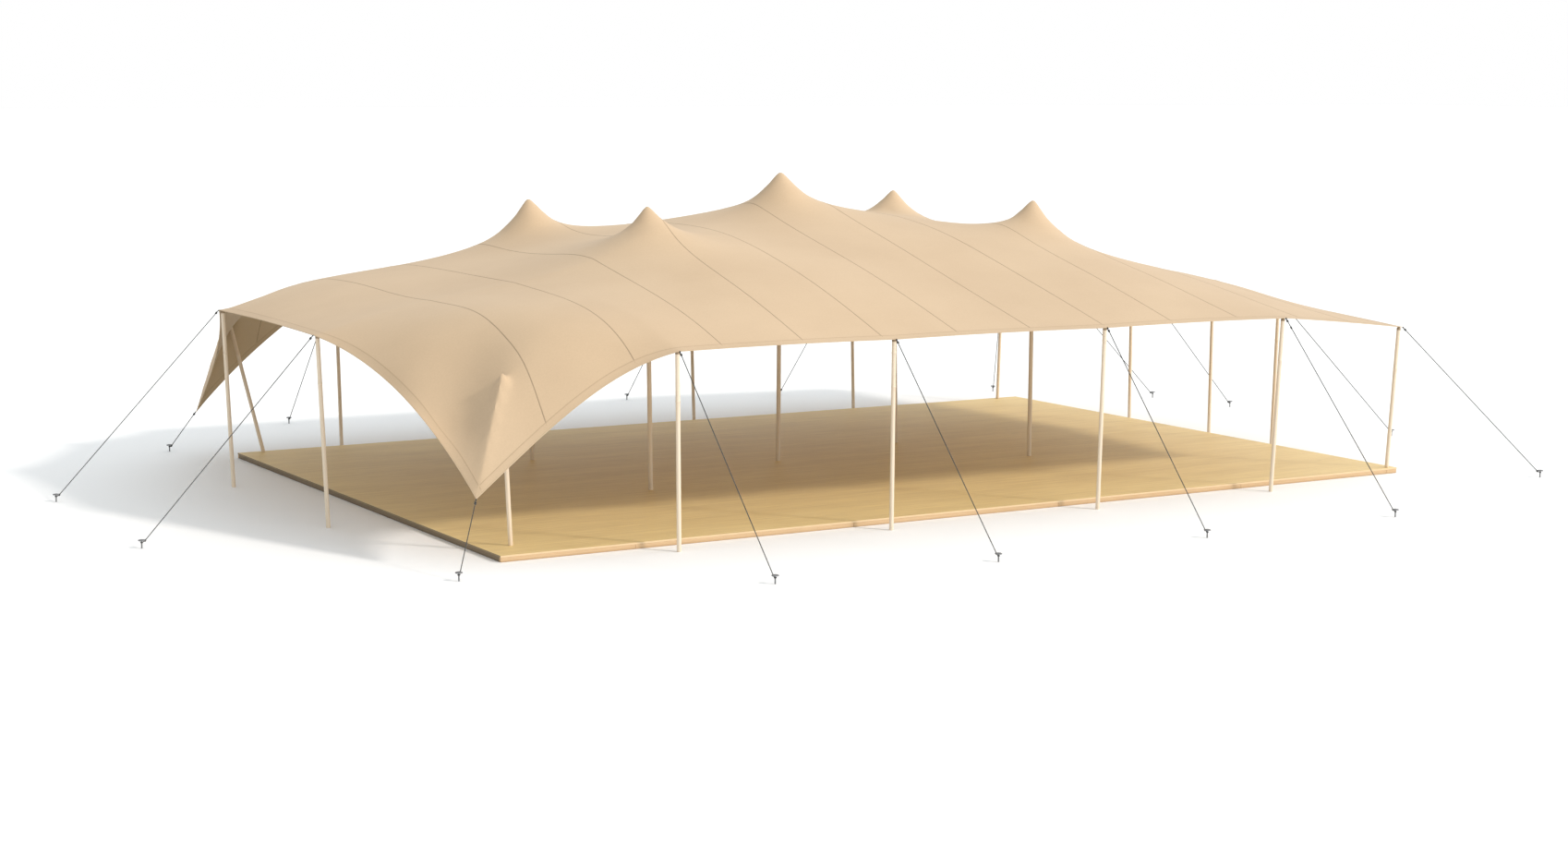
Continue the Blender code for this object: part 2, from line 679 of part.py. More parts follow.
def make_deck_frame(material):
    """Edge boards with joists between the front and the back board."""
    spacing = (DECK_LENGTH - FRAME_BOARD) / JOIST_BAYS
    lines_x = []
    for index in range(JOIST_BAYS + 1):
        start = -DECK_LENGTH / 2 + spacing * index
        lines_x += [start, start + FRAME_BOARD]
    half_depth = DECK_DEPTH / 2
    lines_y = [-half_depth, -half_depth + FRAME_BOARD, half_depth - FRAME_BOARD, half_depth]
    shape = bmesh.new()
    nodes = {}
    for column, x in enumerate(lines_x):
        for row, y in enumerate(lines_y):
            nodes[column, row] = shape.verts.new((x, y, 0.0))
    for column in range(len(lines_x) - 1):
        for row in range(len(lines_y) - 1):
            if row == 1 and column % 2 == 1:
                continue
            corners = ((column, row), (column + 1, row), (column + 1, row + 1), (column, row + 1))
            shape.faces.new([nodes[corner] for corner in corners])
    raised = bmesh.ops.extrude_face_region(shape, geom=shape.faces[:])
    height = DECK_HEIGHT - FLOOR_THICKNESS - GAP
    moved = [part for part in raised["geom"] if isinstance(part, bmesh.types.BMVert)]
    bmesh.ops.translate(shape, vec=Vector((0.0, 0.0, height)), verts=moved)
    return link_mesh("deck_frame", mesh_from_bmesh("deck_frame", shape), material)


def main():
    clear_scene()
    materials = {name: make_material(name) for name in MATERIALS}
    canopy = make_canopy(fabric_surface(), materials["fabric"])
    tree = fabric_tree(canopy)
    make_deck_floor(materials["plywood"])
    make_deck_frame(materials["deck_timber"])
    for name in POLES:
        make_pole(name, tree, materials["pole_wood"])
    for name in GUYS:
        make_guy(name, tree, materials["rope"])


main()
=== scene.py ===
"""Looks of a stretch tent over a low plywood platform.

Metres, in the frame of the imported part: the origin is at ground level under the middle of
the platform, the open front faces -Y, and the two low corners are at -X.
"""

import math

import bmesh
import bpy
import numpy as np
from mathutils import Matrix, Vector
from mathutils.bvhtree import BVHTree


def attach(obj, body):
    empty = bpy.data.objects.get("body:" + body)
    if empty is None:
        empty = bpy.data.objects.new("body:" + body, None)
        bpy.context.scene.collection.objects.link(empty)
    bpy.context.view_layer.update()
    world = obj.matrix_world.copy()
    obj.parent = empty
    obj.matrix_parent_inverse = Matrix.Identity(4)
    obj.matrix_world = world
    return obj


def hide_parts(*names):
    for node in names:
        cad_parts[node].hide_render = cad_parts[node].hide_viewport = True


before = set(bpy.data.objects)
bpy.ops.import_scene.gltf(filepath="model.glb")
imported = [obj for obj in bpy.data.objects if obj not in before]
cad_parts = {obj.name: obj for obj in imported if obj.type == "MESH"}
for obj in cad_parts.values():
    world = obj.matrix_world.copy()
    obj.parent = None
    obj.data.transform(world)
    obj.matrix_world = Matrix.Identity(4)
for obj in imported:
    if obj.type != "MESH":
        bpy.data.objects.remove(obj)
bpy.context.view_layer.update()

# Platform
DECK_LENGTH = 15.0
DECK_DEPTH = 10.0
DECK_HEIGHT = 0.084
FLOOR_THICKNESS = 0.024
SHEET_LENGTH = 2.5
SHEET_WIDTH = 1.25
SHEET_JOINT = 0.0006
SHEET_ROUND = 0.0004
BOARD_THICKNESS = 0.045
FRONT_CUTS = (-5.62, -2.33, 1.07, 4.40, 7.29)
SIDE_CUTS = (-1.7, 1.65)
JOIST_BAYS = 12
DECK_LIGHT = (0.872, 0.667, 0.312)
DECK_DEEP = (0.764, 0.563, 0.252)
DECK_DARK = (0.540, 0.365, 0.165)
# Painted shade for the sheets' faces turned to -X
LEFT_FACE_SHADE = (0.235, 0.175, 0.110)
FRONT_TONE = (0.700, 0.520, 0.325)

# Fabric: the same surface as the solid, but drawn finer, thinner and smooth
FABRIC_THICKNESS = 0.008
FABRIC_TOP = 0.004
GRID_X = 132
GRID_Y = 88
CELL = 0.125
CORNER_CELLS = 8
CORNER_PARTS = 4
HEM_WIDTH = 0.12
HEM_NODES = 9
# Width of the painted shade along the hem's inner edge
HEM_SHADE_BAND = 0.022
SEAM_START = -6.97
SEAM_STEP = 1.2
SEAM_COUNT = 13
SEAM_HALF = 0.007
SEAM_PITCH = 0.04
SEAM_EVEN = 7
FABRIC_TINT = (0.611, 0.452, 0.294)
HEM_TINT = tuple(value * 0.965 for value in FABRIC_TINT)
SEAM_TINT = tuple(value * 0.68 for value in FABRIC_TINT)
# Painted shade on the fabric's lower face
UNDERSIDE_SHADE_SHARE = (0.88, 0.93, 0.93)
RIB_STEP = 0.0016
ROW_STEP = 0.0022
STITCH = 0.009
THREAD_HALF = 0.0011

# Points where the rim of the fabric is held
RIM = {
    "front_left_tip": (-7.97, -5.35, 0.89),
    "front_1": (-5.24, -5.48, 2.57),
    "front_2": (-2.01, -5.50, 2.57),
    "front_3": (1.43, -5.56, 2.57),
    "front_4": (4.61, -5.62, 2.57),
    "front_right": (7.38, -5.13, 2.27),
    "right_1": (7.82, -1.90, 2.390),
    "right_2": (7.94, -0.11, 2.61),
    "right_3": (7.92, 2.07, 2.61),
    "right_4": (7.84, 4.50, 2.455),
    "back_right": (7.50, 5.45, 2.30),
    "back_1": (4.235, 5.65, 2.60),
    "back_2": (0.91, 5.65, 2.60),
    "back_3": (-2.30, 5.65, 2.60),
    "back_4": (-5.605, 5.65, 2.60),
    "back_left_tip": (-7.95, 5.65, 0.69),
    "left_1": (-8.63, 2.27, 2.61),
    "left_2": (-8.63, -1.62, 2.59),
}
FRONT_SIDE = ("front_left_tip", "front_1", "front_2", "front_3", "front_4", "front_right")
BACK_SIDE = ("back_left_tip", "back_4", "back_3", "back_2", "back_1", "back_right")
LEFT_SIDE = ("front_left_tip", "left_2", "left_1", "back_left_tip")
RIGHT_SIDE = ("front_right", "right_1", "right_2", "right_3", "right_4", "back_right")

# Bow of a rim span: inward, upward, and how far it leans towards the span's first end
SPAN_BOW = (0.03, 0.01, 0.0)
TIP_BOWS = {
    ("front_left_tip", "front_1"): (0.12, 0.19, -0.39),
    ("front_left_tip", "left_2"): (0.10, 0.276, 0.0),
    ("left_1", "back_left_tip"): (0.15, 0.193, -0.21),
    ("back_left_tip", "back_4"): (0.05, 0.152, 0.34),
}

# Tops of the inner poles, where the fabric comes to a rounded peak
PEAKS = {
    "peak_1": (-3.805, 2.10, 4.14),
    "peak_2": (-3.553, -1.36, 4.18),
    "peak_3": (-0.455, 0.18, 4.56),
    "peak_4": (2.272, 1.20, 4.20),
    "peak_5": (3.293, -1.24, 4.12),
}
PEAK_CAP = 0.42
PEAK_ROUND = 0.035
PEAK_BEND = 0.22
TILT_REACH = 0.5

# The tips are drawn a little rounder than in the solid, where they lie over the poles' ends
TIP_ROUND = 0.058
TIP_LIFT = 0.011
PEAK_NEAR = 0.19
PEAK_FADE = 0.09

# How the fabric falls from each peak: curved share, even slope, and tilt along X
PEAK_FLANKS = {
    "peak_1": (0.355, 0.185, -0.437),
    "peak_2": (0.441, -0.195, -0.257),
    "peak_3": (0.238, 0.388, -0.130),
    "peak_4": (0.366, 0.001, 0.179),
    "peak_5": (0.378, 0.091, 0.498),
}

# How much fuller the flanks of a peak stand than a plain net, and how that tilts along X
PEAK_FULLNESS = {
    "peak_1": (-1.345, 0.088),
    "peak_2": (0.308, -0.252),
    "peak_3": (-0.837, 0.521),
    "peak_4": (-1.250, 1.118),
    "peak_5": (-0.321, -0.632),
}
PEAK_SPREAD = 0.35

# Low bumps over the two left corner poles, each with a taut fold down to its tip
BUMPS = {
    "front_left_tip": (-7.295, -4.631, 2.32),
    "back_left_tip": (-7.56, 5.20, 2.32),
}
BUMP_TIP = 0.060
BUMP_REACH = 0.05
BUMP_FOOT = 0.22
FOLD_NODES = {"front_left_tip": 6, "back_left_tip": 4}

# Hollows beside the front fold, and how the fabric goes flat there
HOLLOWS = ((-7.74, -4.15, 3.6), (-8.02, -4.68, 1.6))
HOLLOW_SPREAD = 0.38
FLAT_FADE = 0.35

# Shape of the fabric: crown of the panels, and how the left corners fall to their tips
CROWN = 0.013
CROWN_SPREAD = 0.85
CROWN_ROWS = (-3.6, -1.2, 1.2, 3.6)
CROWN_COLUMNS = {
    -7.8: (0.013, -0.010, 0.147, 0.115),
    -6.4: (-0.094, -0.071, 0.021, 0.062),
    -4.8: (-0.069, -0.043, -0.110, 0.017),
    -3.2: (0.106, 0.023, -0.063, 0.025),
    -1.9: (0.042, -0.027, 0.009, 0.064),
    -0.6: (-0.010, -0.048, 0.036, 0.113),
    0.9: (-0.076, 0.072, 0.158, 0.155),
    2.4: (0.090, -0.001, -0.065, 0.101),
    4.0: (0.066, -0.113, -0.146, 0.026),
    5.6: (0.025, 0.029, -0.048, 0.004),
    7.0: (-0.033, 0.113, 0.026, 0.013),
}
SHOULDERS = ((-7.3, -4.6, 0.508), (-7.3, 5.3, -0.155))
SHOULDER_SPREAD = 1.333
SHOULDER_HEIGHT = 3.012
CORNER_REACH = 0.525

# Poles and ropes
POLE_RADIUS = 0.030
INNER_POLE_RADIUS = 0.034
POLE_SIDES = 24
CAP_LENGTH = 0.020
ROPE_RADIUS = 0.006
BRAID_STEP = 0.012
ROPE_GROOVE_SHADE = (0.045, 0.044, 0.043)
ROPE_LIGHT = (0.125, 0.123, 0.119)
STAKE_HEIGHT = 0.118
STAKE_SIDES = 28
KNOT_HEIGHT = 0.092
KNOT_REACH = 0.040
LOOP_HEIGHT = 0.074

# Colours of the wood and of the fittings
POLE_LIGHT = (0.850, 0.735, 0.590)
POLE_DARK = (0.690, 0.545, 0.385)
EDGE_LIGHT = (0.660, 0.465, 0.275)
EDGE_DARK = (0.560, 0.375, 0.205)
# Dark tones of the side boards at the platform's two ends: painted shade
SIDE_SHADE_LIGHT = (0.270, 0.200, 0.125)
SIDE_SHADE_DEEP = (0.195, 0.143, 0.087)
KNOT_TONE = (0.34, 0.20, 0.09)
LAYER = 0.0205
RUBBER_TINT = (0.34, 0.25, 0.16)
STAKE_TINT = (0.20, 0.20, 0.205)
STEEL_TINT = (0.08, 0.08, 0.08)
GROUND_TINT = (0.97, 0.97, 0.97)

# Camera, solved from the platform, the poles and the stakes in the photograph
CAMERA_PLACE = (-20.328, -33.616, 5.988)
CAMERA_YAW = 0.5335
CAMERA_PITCH = 0.1365
CAMERA_ROLL = 0.0045
CAMERA_LENS = 58.67
SENSOR_WIDTH = 36.0

# Sun-like key light; its direction is from the edges of the shadows in the photograph
KEY_DIRECTION = (0.90, -1.25, 1.0)
KEY_ENERGY = 1.84
KEY_DEGREES = 6.0
KEY_COLOUR = (1.0, 0.93, 0.86)

# Soft studio light: an even share, and large soft panels as (axis, side, strength)
LIGHT_COLOUR = (0.96, 1.0, 1.02)
EVEN_LIGHT = 0.104
SOFT_PANELS = ((0, 1.0, 1.02), (0, -1.0, 0.18), (1, -1.0, 0.77), (1, 1.0, 0.30), (2, 1.0, 0.53))


# ---- camera and light ----


def make_camera():
    yaw, pitch, roll = CAMERA_YAW, CAMERA_PITCH, CAMERA_ROLL
    forward = Vector(
        (math.sin(yaw) * math.cos(pitch), math.cos(yaw) * math.cos(pitch), -math.sin(pitch))
    )
    level = Vector((math.cos(yaw), -math.sin(yaw), 0.0))
    upright = level.cross(forward)
    right = math.cos(roll) * level + math.sin(roll) * upright
    up = right.cross(forward)
    data = bpy.data.cameras.new("camera")
    data.sensor_width = SENSOR_WIDTH
    data.lens = CAMERA_LENS
    data.clip_end = 1000.0
    camera = bpy.data.objects.new("camera", data)
    bpy.context.collection.objects.link(camera)
    turn = Matrix((right, up, -forward)).transposed().to_4x4()
    camera.matrix_world = Matrix.Translation(CAMERA_PLACE) @ turn
    bpy.context.scene.camera = camera


def make_lights():
    data = bpy.data.lights.new("key", "SUN")
    data.energy = KEY_ENERGY
    data.angle = math.radians(KEY_DEGREES)
    data.color = KEY_COLOUR
    key = bpy.data.objects.new("key", data)
    key.rotation_euler = Vector(KEY_DIRECTION).to_track_quat("Z", "Y").to_euler()
    bpy.context.collection.objects.link(key)
    world = bpy.data.worlds.new("studio")
    world.use_nodes = True
    nodes, links = world.node_tree.nodes, world.node_tree.links
    background = nodes["Background"]
    background.inputs["Color"].default_value = (*LIGHT_COLOUR, 1.0)
    direction = nodes.new("ShaderNodeTexCoord").outputs["Generated"]
    parts = nodes.new("ShaderNodeSeparateXYZ")
    links.new(direction, parts.inputs[0])
    total = None
    for axis, side, strength in SOFT_PANELS:
        facing = nodes.new("ShaderNodeMath")
        facing.operation = "MULTIPLY"
        facing.use_clamp = True
        links.new(parts.outputs[axis], facing.inputs[0])
        facing.inputs[1].default_value = side
        add = nodes.new("ShaderNodeMath")
        add.operation = "MULTIPLY_ADD"
        links.new(facing.outputs[0], add.inputs[0])
        add.inputs[1].default_value = strength
        if total is None:
            add.inputs[2].default_value = EVEN_LIGHT
        else:
            links.new(total, add.inputs[2])
        total = add.outputs[0]
    links.new(total, background.inputs["Strength"])
    seen = nodes.new("ShaderNodeBackground")
    seen.inputs["Color"].default_value = (1.0, 1.0, 1.0, 1.0)
    seen.inputs["Strength"].default_value = 1.0
    path = nodes.new("ShaderNodeLightPath")
    mix = nodes.new("ShaderNodeMixShader")
    links.new(path.outputs["Is Camera Ray"], mix.inputs[0])
    links.new(background.outputs[0], mix.inputs[1])
    links.new(seen.outputs[0], mix.inputs[2])
    links.new(mix.outputs[0], nodes["World Output"].inputs["Surface"])
    bpy.context.scene.world = world
    bpy.context.scene.view_settings.view_transform = "Standard"
    bpy.context.scene.view_settings.look = "None"


# ---- small helpers for node materials ----


class Nodes:
    """Node material under construction, with short names for the nodes used here."""

    def __init__(self, name, roughness, specular):
        self.material = bpy.data.materials.new(name)
        self.material.use_nodes = True
        self.tree = self.material.node_tree
        self.shader = self.tree.nodes["Principled BSDF"]
        self.shader.inputs["Roughness"].default_value = roughness
        self.shader.inputs["Specular IOR Level"].default_value = specular

    def add(self, kind, **values):
        node = self.tree.nodes.new(kind)
        for key, value in values.items():
            setattr(node, key, value)
        return node

    def feed(self, socket, value):
        if isinstance(value, bpy.types.NodeSocket):
            self.tree.links.new(value, socket)
        else:
            socket.default_value = value

    def place(self, kind="Object"):
        return self.add("ShaderNodeTexCoord").outputs[kind]

    def scaled(self, vector, scale):
        node = self.add("ShaderNodeVectorMath", operation="MULTIPLY")
        self.feed(node.inputs[0], vector)
        node.inputs[1].default_value = scale
        return node.outputs[0]

    def split(self, vector):
        node = self.add("ShaderNodeSeparateXYZ")
        self.feed(node.inputs[0], vector)
        return node.outputs[0], node.outputs[1], node.outputs[2]

    def math(self, operation, first, second=0.0, third=0.0):
        node = self.add("ShaderNodeMath", operation=operation)
        self.feed(node.inputs[0], first)
        self.feed(node.inputs[1], second)
        self.feed(node.inputs[2], third)
        return node.outputs[0]

    def noise(self, vector, scale, detail, rough):
        node = self.add("ShaderNodeTexNoise")
        self.feed(node.inputs["Vector"], vector)
        node.inputs["Scale"].default_value = scale
        node.inputs["Detail"].default_value = detail
        node.inputs["Roughness"].default_value = rough
        return node.outputs["Fac"]

    def grain(self, vector, scale, detail, rough):
        """Noise drawn out along the axes of the given scale."""
        return self.noise(self.scaled(vector, scale), 1.0, detail, rough)

    def spread(self, value, low, high, to_low=0.0, to_high=1.0):
        node = self.add("ShaderNodeMapRange")
        self.feed(node.inputs["Value"], value)
        node.inputs["From Min"].default_value = low
        node.inputs["From Max"].default_value = high
        node.inputs["To Min"].default_value = to_low
        node.inputs["To Max"].default_value = to_high
        return node.outputs[0]

    def mix(self, share, first, second, blend="MIX"):
        node = self.add("ShaderNodeMix", data_type="RGBA", blend_type=blend)
        self.feed(node.inputs[0], share)
        self.feed(node.inputs[6], first)
        self.feed(node.inputs[7], second)
        return node.outputs[2]

    def bump(self, height, distance, strength=1.0, before=None):
        node = self.add("ShaderNodeBump")
        node.inputs["Strength"].default_value = strength
        node.inputs["Distance"].default_value = distance
        self.feed(node.inputs["Height"], height)
        if before is not None:
            self.feed(node.inputs["Normal"], before)
        return node.outputs[0]

    def colour(self, value):
        self.feed(self.shader.inputs["Base Color"], value)

    def normal(self, value):
        self.feed(self.shader.inputs["Normal"], value)


def toned(colour, red, green, blue):
    return colour[0] * red, colour[1] * green, colour[2] * blue, 1.0


def fabric_material(name, tint, stitched):
    """Knitted stretch fabric: fine ribs, faint clouding, and stitch rows on hems and seams."""
    made = Nodes(name, 0.78, 0.25)
    made.shader.inputs["Sheen Weight"].default_value = 0.08
    made.shader.inputs["Sheen Roughness"].default_value = 0.5
    place = made.place()
    uv = made.place("UV")
    clouds = made.noise(place, 0.55, 4.0, 0.55)
    flecks = made.noise(place, 46.0, 2.0, 0.6)
    base = (*tint, 1.0)
    darker = toned(tint, 0.93, 0.915, 0.90)
    cloudy = made.mix(made.spread(clouds, 0.35, 0.72), base, darker)
    shade = made.spread(flecks, 0.3, 0.7, 0.975, 1.02)
    # The fabric's lower face is drawn darker and less red: painted shade under the canopy
    under = made.math("LESS_THAN", made.split(made.place("Normal"))[2], -0.1)
    cloudy = made.mix(under, cloudy, toned(tint, *UNDERSIDE_SHADE_SHARE))
    grey = made.add("ShaderNodeCombineColor")
    for channel in range(3):
        made.feed(grey.inputs[channel], shade)
    colour = made.mix(1.0, cloudy, grey.outputs[0], "MULTIPLY")
    along, across, _ = made.split(uv)
    ribs = made.math("SINE", made.math("MULTIPLY", along, 2 * math.pi / RIB_STEP))
    rows = made.math("SINE", made.math("MULTIPLY", across, 2 * math.pi / ROW_STEP))
    weave = made.math("MULTIPLY", ribs, rows)
    normal = made.bump(weave, 0.00012, 0.5)
    slack = made.noise(made.scaled(place, (0.8, 2.2, 1.0)), 1.1, 2.0, 0.5)
    normal = made.bump(slack, 0.010, 0.35, normal)
    if stitched:
        # A band along the hem's inner edge is drawn darker: painted shade at the fold
        hem_fold_shade = made.spread(across, HEM_WIDTH - HEM_SHADE_BAND, HEM_WIDTH, 0.0, 0.42)
        colour = made.mix(hem_fold_shade, colour, toned(tint, 0.62, 0.58, 0.54))
        dash = made.math("LESS_THAN", made.math("FRACT", made.math("DIVIDE", along, STITCH)), 0.66)
        rows_of_thread = 0.0
        for row in stitched:
            aside = made.math("ABSOLUTE", made.math("SUBTRACT", across, row))
            near = made.math("LESS_THAN", aside, THREAD_HALF)
            rows_of_thread = made.math("MAXIMUM", rows_of_thread, near)
        thread = made.math("MULTIPLY", dash, rows_of_thread)
        colour = made.mix(thread, colour, toned(tint, 0.68, 0.64, 0.60))
        normal = made.bump(thread, 0.0006, 1.0, normal)
    made.colour(colour)
    made.normal(normal)
    return made.material


def wood_material(name, light, dark, grain, rings, roughness):
    """Planed wood with its grain along the second coordinate."""
    made = Nodes(name, roughness, 0.35)
    place = made.place("UV")
    fine = made.grain(place, grain, 5.0, 0.6)
    wide = made.grain(place, rings, 3.0, 0.55)
    share = made.math("ADD", made.math("MULTIPLY", fine, 0.55), made.math("MULTIPLY", wide, 0.45))
    share = made.spread(share, 0.34, 0.68)
    colour = made.mix(share, (*light, 1.0), (*dark, 1.0))
    made.colour(colour)
    gloss = made.spread(fine, 0.3, 0.7, roughness - 0.06, roughness + 0.08)
    made.feed(made.shader.inputs["Roughness"], gloss)
    made.normal(made.bump(fine, 0.0006, 0.5))
    return made.material


def plywood_material():
    """Oiled plywood floor: long fine streaks of grain along X, and a few small knots."""
    made = Nodes("plywood_floor", 0.52, 0.35)
    place = made.place()
    bands = made.grain(place, (0.30, 2.2, 1.0), 3.0, 0.5)
    streaks = made.grain(place, (0.9, 17.0, 1.0), 5.0, 0.62)
    threads = made.grain(place, (1.8, 70.0, 1.0), 3.0, 0.6)
    fibres = made.grain(place, (6.0, 260.0, 1.0), 3.0, 0.6)
    share = made.math("MULTIPLY_ADD", streaks, 0.65, made.math("MULTIPLY", bands, 0.35))
    colour = made.mix(made.spread(share, 0.40, 0.60), (*DECK_LIGHT, 1.0), (*DECK_DEEP, 1.0))
    colour = made.mix(made.spread(threads, 0.50, 0.78, 0.0, 0.30), colour, (*DECK_DARK, 1.0))
    colour = made.mix(made.spread(fibres, 0.40, 0.8, 0.0, 0.16), colour, (*DECK_DARK, 1.0))
    flecks = made.grain(place, (2.6, 34.0, 1.0), 2.0, 0.5)
    colour = made.mix(made.spread(flecks, 0.64, 0.74, 0.0, 0.35), colour, (*DECK_DARK, 1.0))
    knots = made.add("ShaderNodeTexVoronoi", feature="F1")
    made.feed(knots.inputs["Vector"], made.scaled(place, (0.42, 1.2, 0.0)))
    knots.inputs["Scale"].default_value = 1.0
    knot = made.spread(knots.outputs["Distance"], 0.010, 0.042, 0.45, 0.0)
    colour = made.mix(knot, colour, (*KNOT_TONE, 1.0))
    facing, forward, _ = made.split(made.place("Normal"))
    # Faces turned to -X are drawn dark brown: painted shade on the platform's left edge
    painted_left_shade = made.math("MULTIPLY", made.math("LESS_THAN", facing, -0.5), 0.92)
    colour = made.mix(painted_left_shade, colour, (*LEFT_FACE_SHADE, 1.0))
    front = made.math("MULTIPLY", made.math("LESS_THAN", forward, -0.5), 0.85)
    colour = made.mix(front, colour, (*FRONT_TONE, 1.0))
    made.colour(colour)
    made.normal(made.bump(fibres, 0.0004, 0.4))
    return made.material


def layered_material(name, light, dark, layer):
    """Edge of the platform: grain along the board and thin glue lines between its layers."""
    made = Nodes(name, 0.6, 0.3)
    place = made.place()
    z = made.split(place)[2]
    grain = made.grain(place, (1.2, 1.2, 60.0), 4.0, 0.6)
    long_grain = made.grain(place, (0.5, 0.5, 14.0), 3.0, 0.55)
    share = made.math("MULTIPLY_ADD", grain, 0.5, made.math("MULTIPLY", long_grain, 0.5))
    colour = made.mix(made.spread(share, 0.35, 0.66), (*light, 1.0), (*dark, 1.0))
    step = made.math("FRACT", made.math("DIVIDE", z, layer))
    line = made.math("LESS_THAN", step, 0.10)
    glue = made.math("MULTIPLY", line, 0.45)
    colour = made.mix(glue, colour, toned(dark, 0.5, 0.45, 0.4))
    # Darker towards the bottom of each board
    low_darkening = made.spread(z, 0.0, 0.034, 0.62, 0.0)
    colour = made.mix(low_darkening, colour, toned(dark, 0.66, 0.62, 0.58))
    made.colour(colour)
    made.normal(made.bump(grain, 0.0006, 0.5))
    return made.material


def rope_material():
    """Braided rope: two crossing sets of strands."""
    made = Nodes("braided_rope", 0.8, 0.2)
    across, along, _ = made.split(made.place("UV"))
    run = made.math("MULTIPLY", along, 2 * math.pi / BRAID_STEP)
    turn = made.math("MULTIPLY", across, 8 * math.pi)
    one = made.math("SINE", made.math("ADD", run, turn))
    two = made.math("SINE", made.math("SUBTRACT", run, turn))
    braid = made.math("MULTIPLY", one, two)
    # The braid is drawn darker where its relief is low: painted shade between the strands
    colour = made.mix(made.spread(braid, -0.6, 0.6), (*ROPE_GROOVE_SHADE, 1.0), (*ROPE_LIGHT, 1.0))
    made.colour(colour)
    made.normal(made.bump(braid, 0.0012, 0.8))
    return made.material


def plain_material(name, colour, roughness, metallic, mottle):
    """Painted or rubber surface with faint mottling and scuffs."""
    made = Nodes(name, roughness, 0.4)
    made.shader.inputs["Metallic"].default_value = metallic
    place = made.place()
    patch = made.noise(place, 38.0, 4.0, 0.6)
    low = tuple(c * (1 - mottle) for c in colour)
    high = tuple(min(1.0, c * (1 + mottle)) for c in colour)
    made.colour(made.mix(made.spread(patch, 0.3, 0.7), (*low, 1.0), (*high, 1.0)))
    gloss = made.spread(patch, 0.3, 0.7, roughness - 0.08, roughness + 0.08)
    made.feed(made.shader.inputs["Roughness"], gloss)
    made.normal(made.bump(patch, 0.0004, 0.4))
    return made.material


# ---- meshes ----


def add_piece(name, shape, material, sharp):
    """One smooth mesh object that rides on the tent's body; shape is points, faces, uvs."""
    points, faces, uvs = shape
    mesh = bpy.data.meshes.new(name)
    mesh.from_pydata([tuple(point) for point in points], [], faces)
    mesh.materials.append(material)
    if len(uvs):
        layer = mesh.uv_layers.new(name="UVMap")
        corners = np.empty(len(mesh.loops), int)
        mesh.loops.foreach_get("vertex_index", corners)
        layer.data.foreach_set("uv", np.asarray(uvs, float)[corners].ravel())
    mesh.shade_smooth()
    mesh.set_sharp_from_angle(angle=math.radians(sharp))
    mesh.validate()
    item = bpy.data.objects.new(name, mesh)
    bpy.context.collection.objects.link(item)
    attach(item, "root")
    return item


def ring_frame(axis):
    across = Vector((0, 1, 0)) if abs(axis.y) < 0.9 else Vector((1, 0, 0))
    side = axis.cross(across).normalized()
    return side, axis.cross(side).normalized()


def ring_faces(rows, sides):
    """Quads between rings of points that follow each other, with a flat face at each end."""
    faces = []
    for row in range(rows - 1):
        for index in range(sides):
            after = (index + 1) % sides
            low, high = row * sides, (row + 1) * sides
            faces.append((low + index, low + after, high + after, high + index))
    faces.append(tuple(reversed(range(sides))))
    top = (rows - 1) * sides
    faces.append(tuple(range(top, top + sides)))
    return faces


def lathe(start, axis, profile, sides):
    """Points, faces and coordinates of a turned shape: profile is (height, radius) pairs."""
    side, other = ring_frame(axis)
    points, uvs = [], []
    for height, radius in profile:
        for index in range(sides):
            turn = 2 * math.pi * index / sides
            spoke = side * math.cos(turn) + other * math.sin(turn)
            points.append(start + axis * height + spoke * radius)
            uvs.append((0.5 - 0.5 * math.cos(turn), height))
    return points, ring_faces(len(profile), sides), uvs


def tube(path, radius, sides):
    """Points, faces and coordinates of a round tube along a list of points."""
    points, uvs = [], []
    path = [Vector(point) for point in path]
    travelled = 0.0
    side = None
    for index, point in enumerate(path):
        before = path[max(index - 1, 0)]
        after = path[min(index + 1, len(path) - 1)]
        axis = (after - before).normalized()
        if side is None:
            side = ring_frame(axis)[0]
        side = (side - axis * side.dot(axis)).normalized()
        other = axis.cross(side)
        travelled += (point - before).length
        for step in range(sides):
            turn = 2 * math.pi * step / sides
            points.append(point + (side * math.cos(turn) + other * math.sin(turn)) * radius)
            uvs.append((step / sides, travelled))
    return points, ring_faces(len(path), sides), uvs


def joined(parts):
    """Several point, face and coordinate lists as one."""
    points, faces, uvs = [], [], []
    for part_points, part_faces, part_uvs in parts:
        shift = len(points)
        points += part_points
        faces += [tuple(index + shift for index in face) for face in part_faces]
        uvs += part_uvs
    return points, faces, uvs


# ---- fabric: the same net as in the solid ----


def span_bow(start, end, part):
    """Offset along one rim span: inward in plan, and up, leaning to one end of the span."""
    inward, upward, lean = TIP_BOWS.get((start, end), SPAN_BOW)
    along = np.array(RIM[end])[:2] - np.array(RIM[start])[:2]
    across = np.array((-along[1], along[0])) / np.hypot(*along)
    middle = (np.array(RIM[start])[:2] + np.array(RIM[end])[:2]) / 2
    if across @ middle > 0:
        across = -across
    share = 4 * part * (1 - part) * (1 + lean * (1 - 2 * part))
    return share * np.array((across[0] * inward, across[1] * inward, upward))


def rim_stops(names, count):
    """Grid index of each held point along one side of the rim."""
    points = np.array([RIM[name][:2] for name in names])
    lengths = np.hypot(*np.diff(points, axis=0).T)
    shares = np.concatenate([[0.0], np.cumsum(lengths)]) / lengths.sum()
    return [int(round(share * count)) for share in shares]


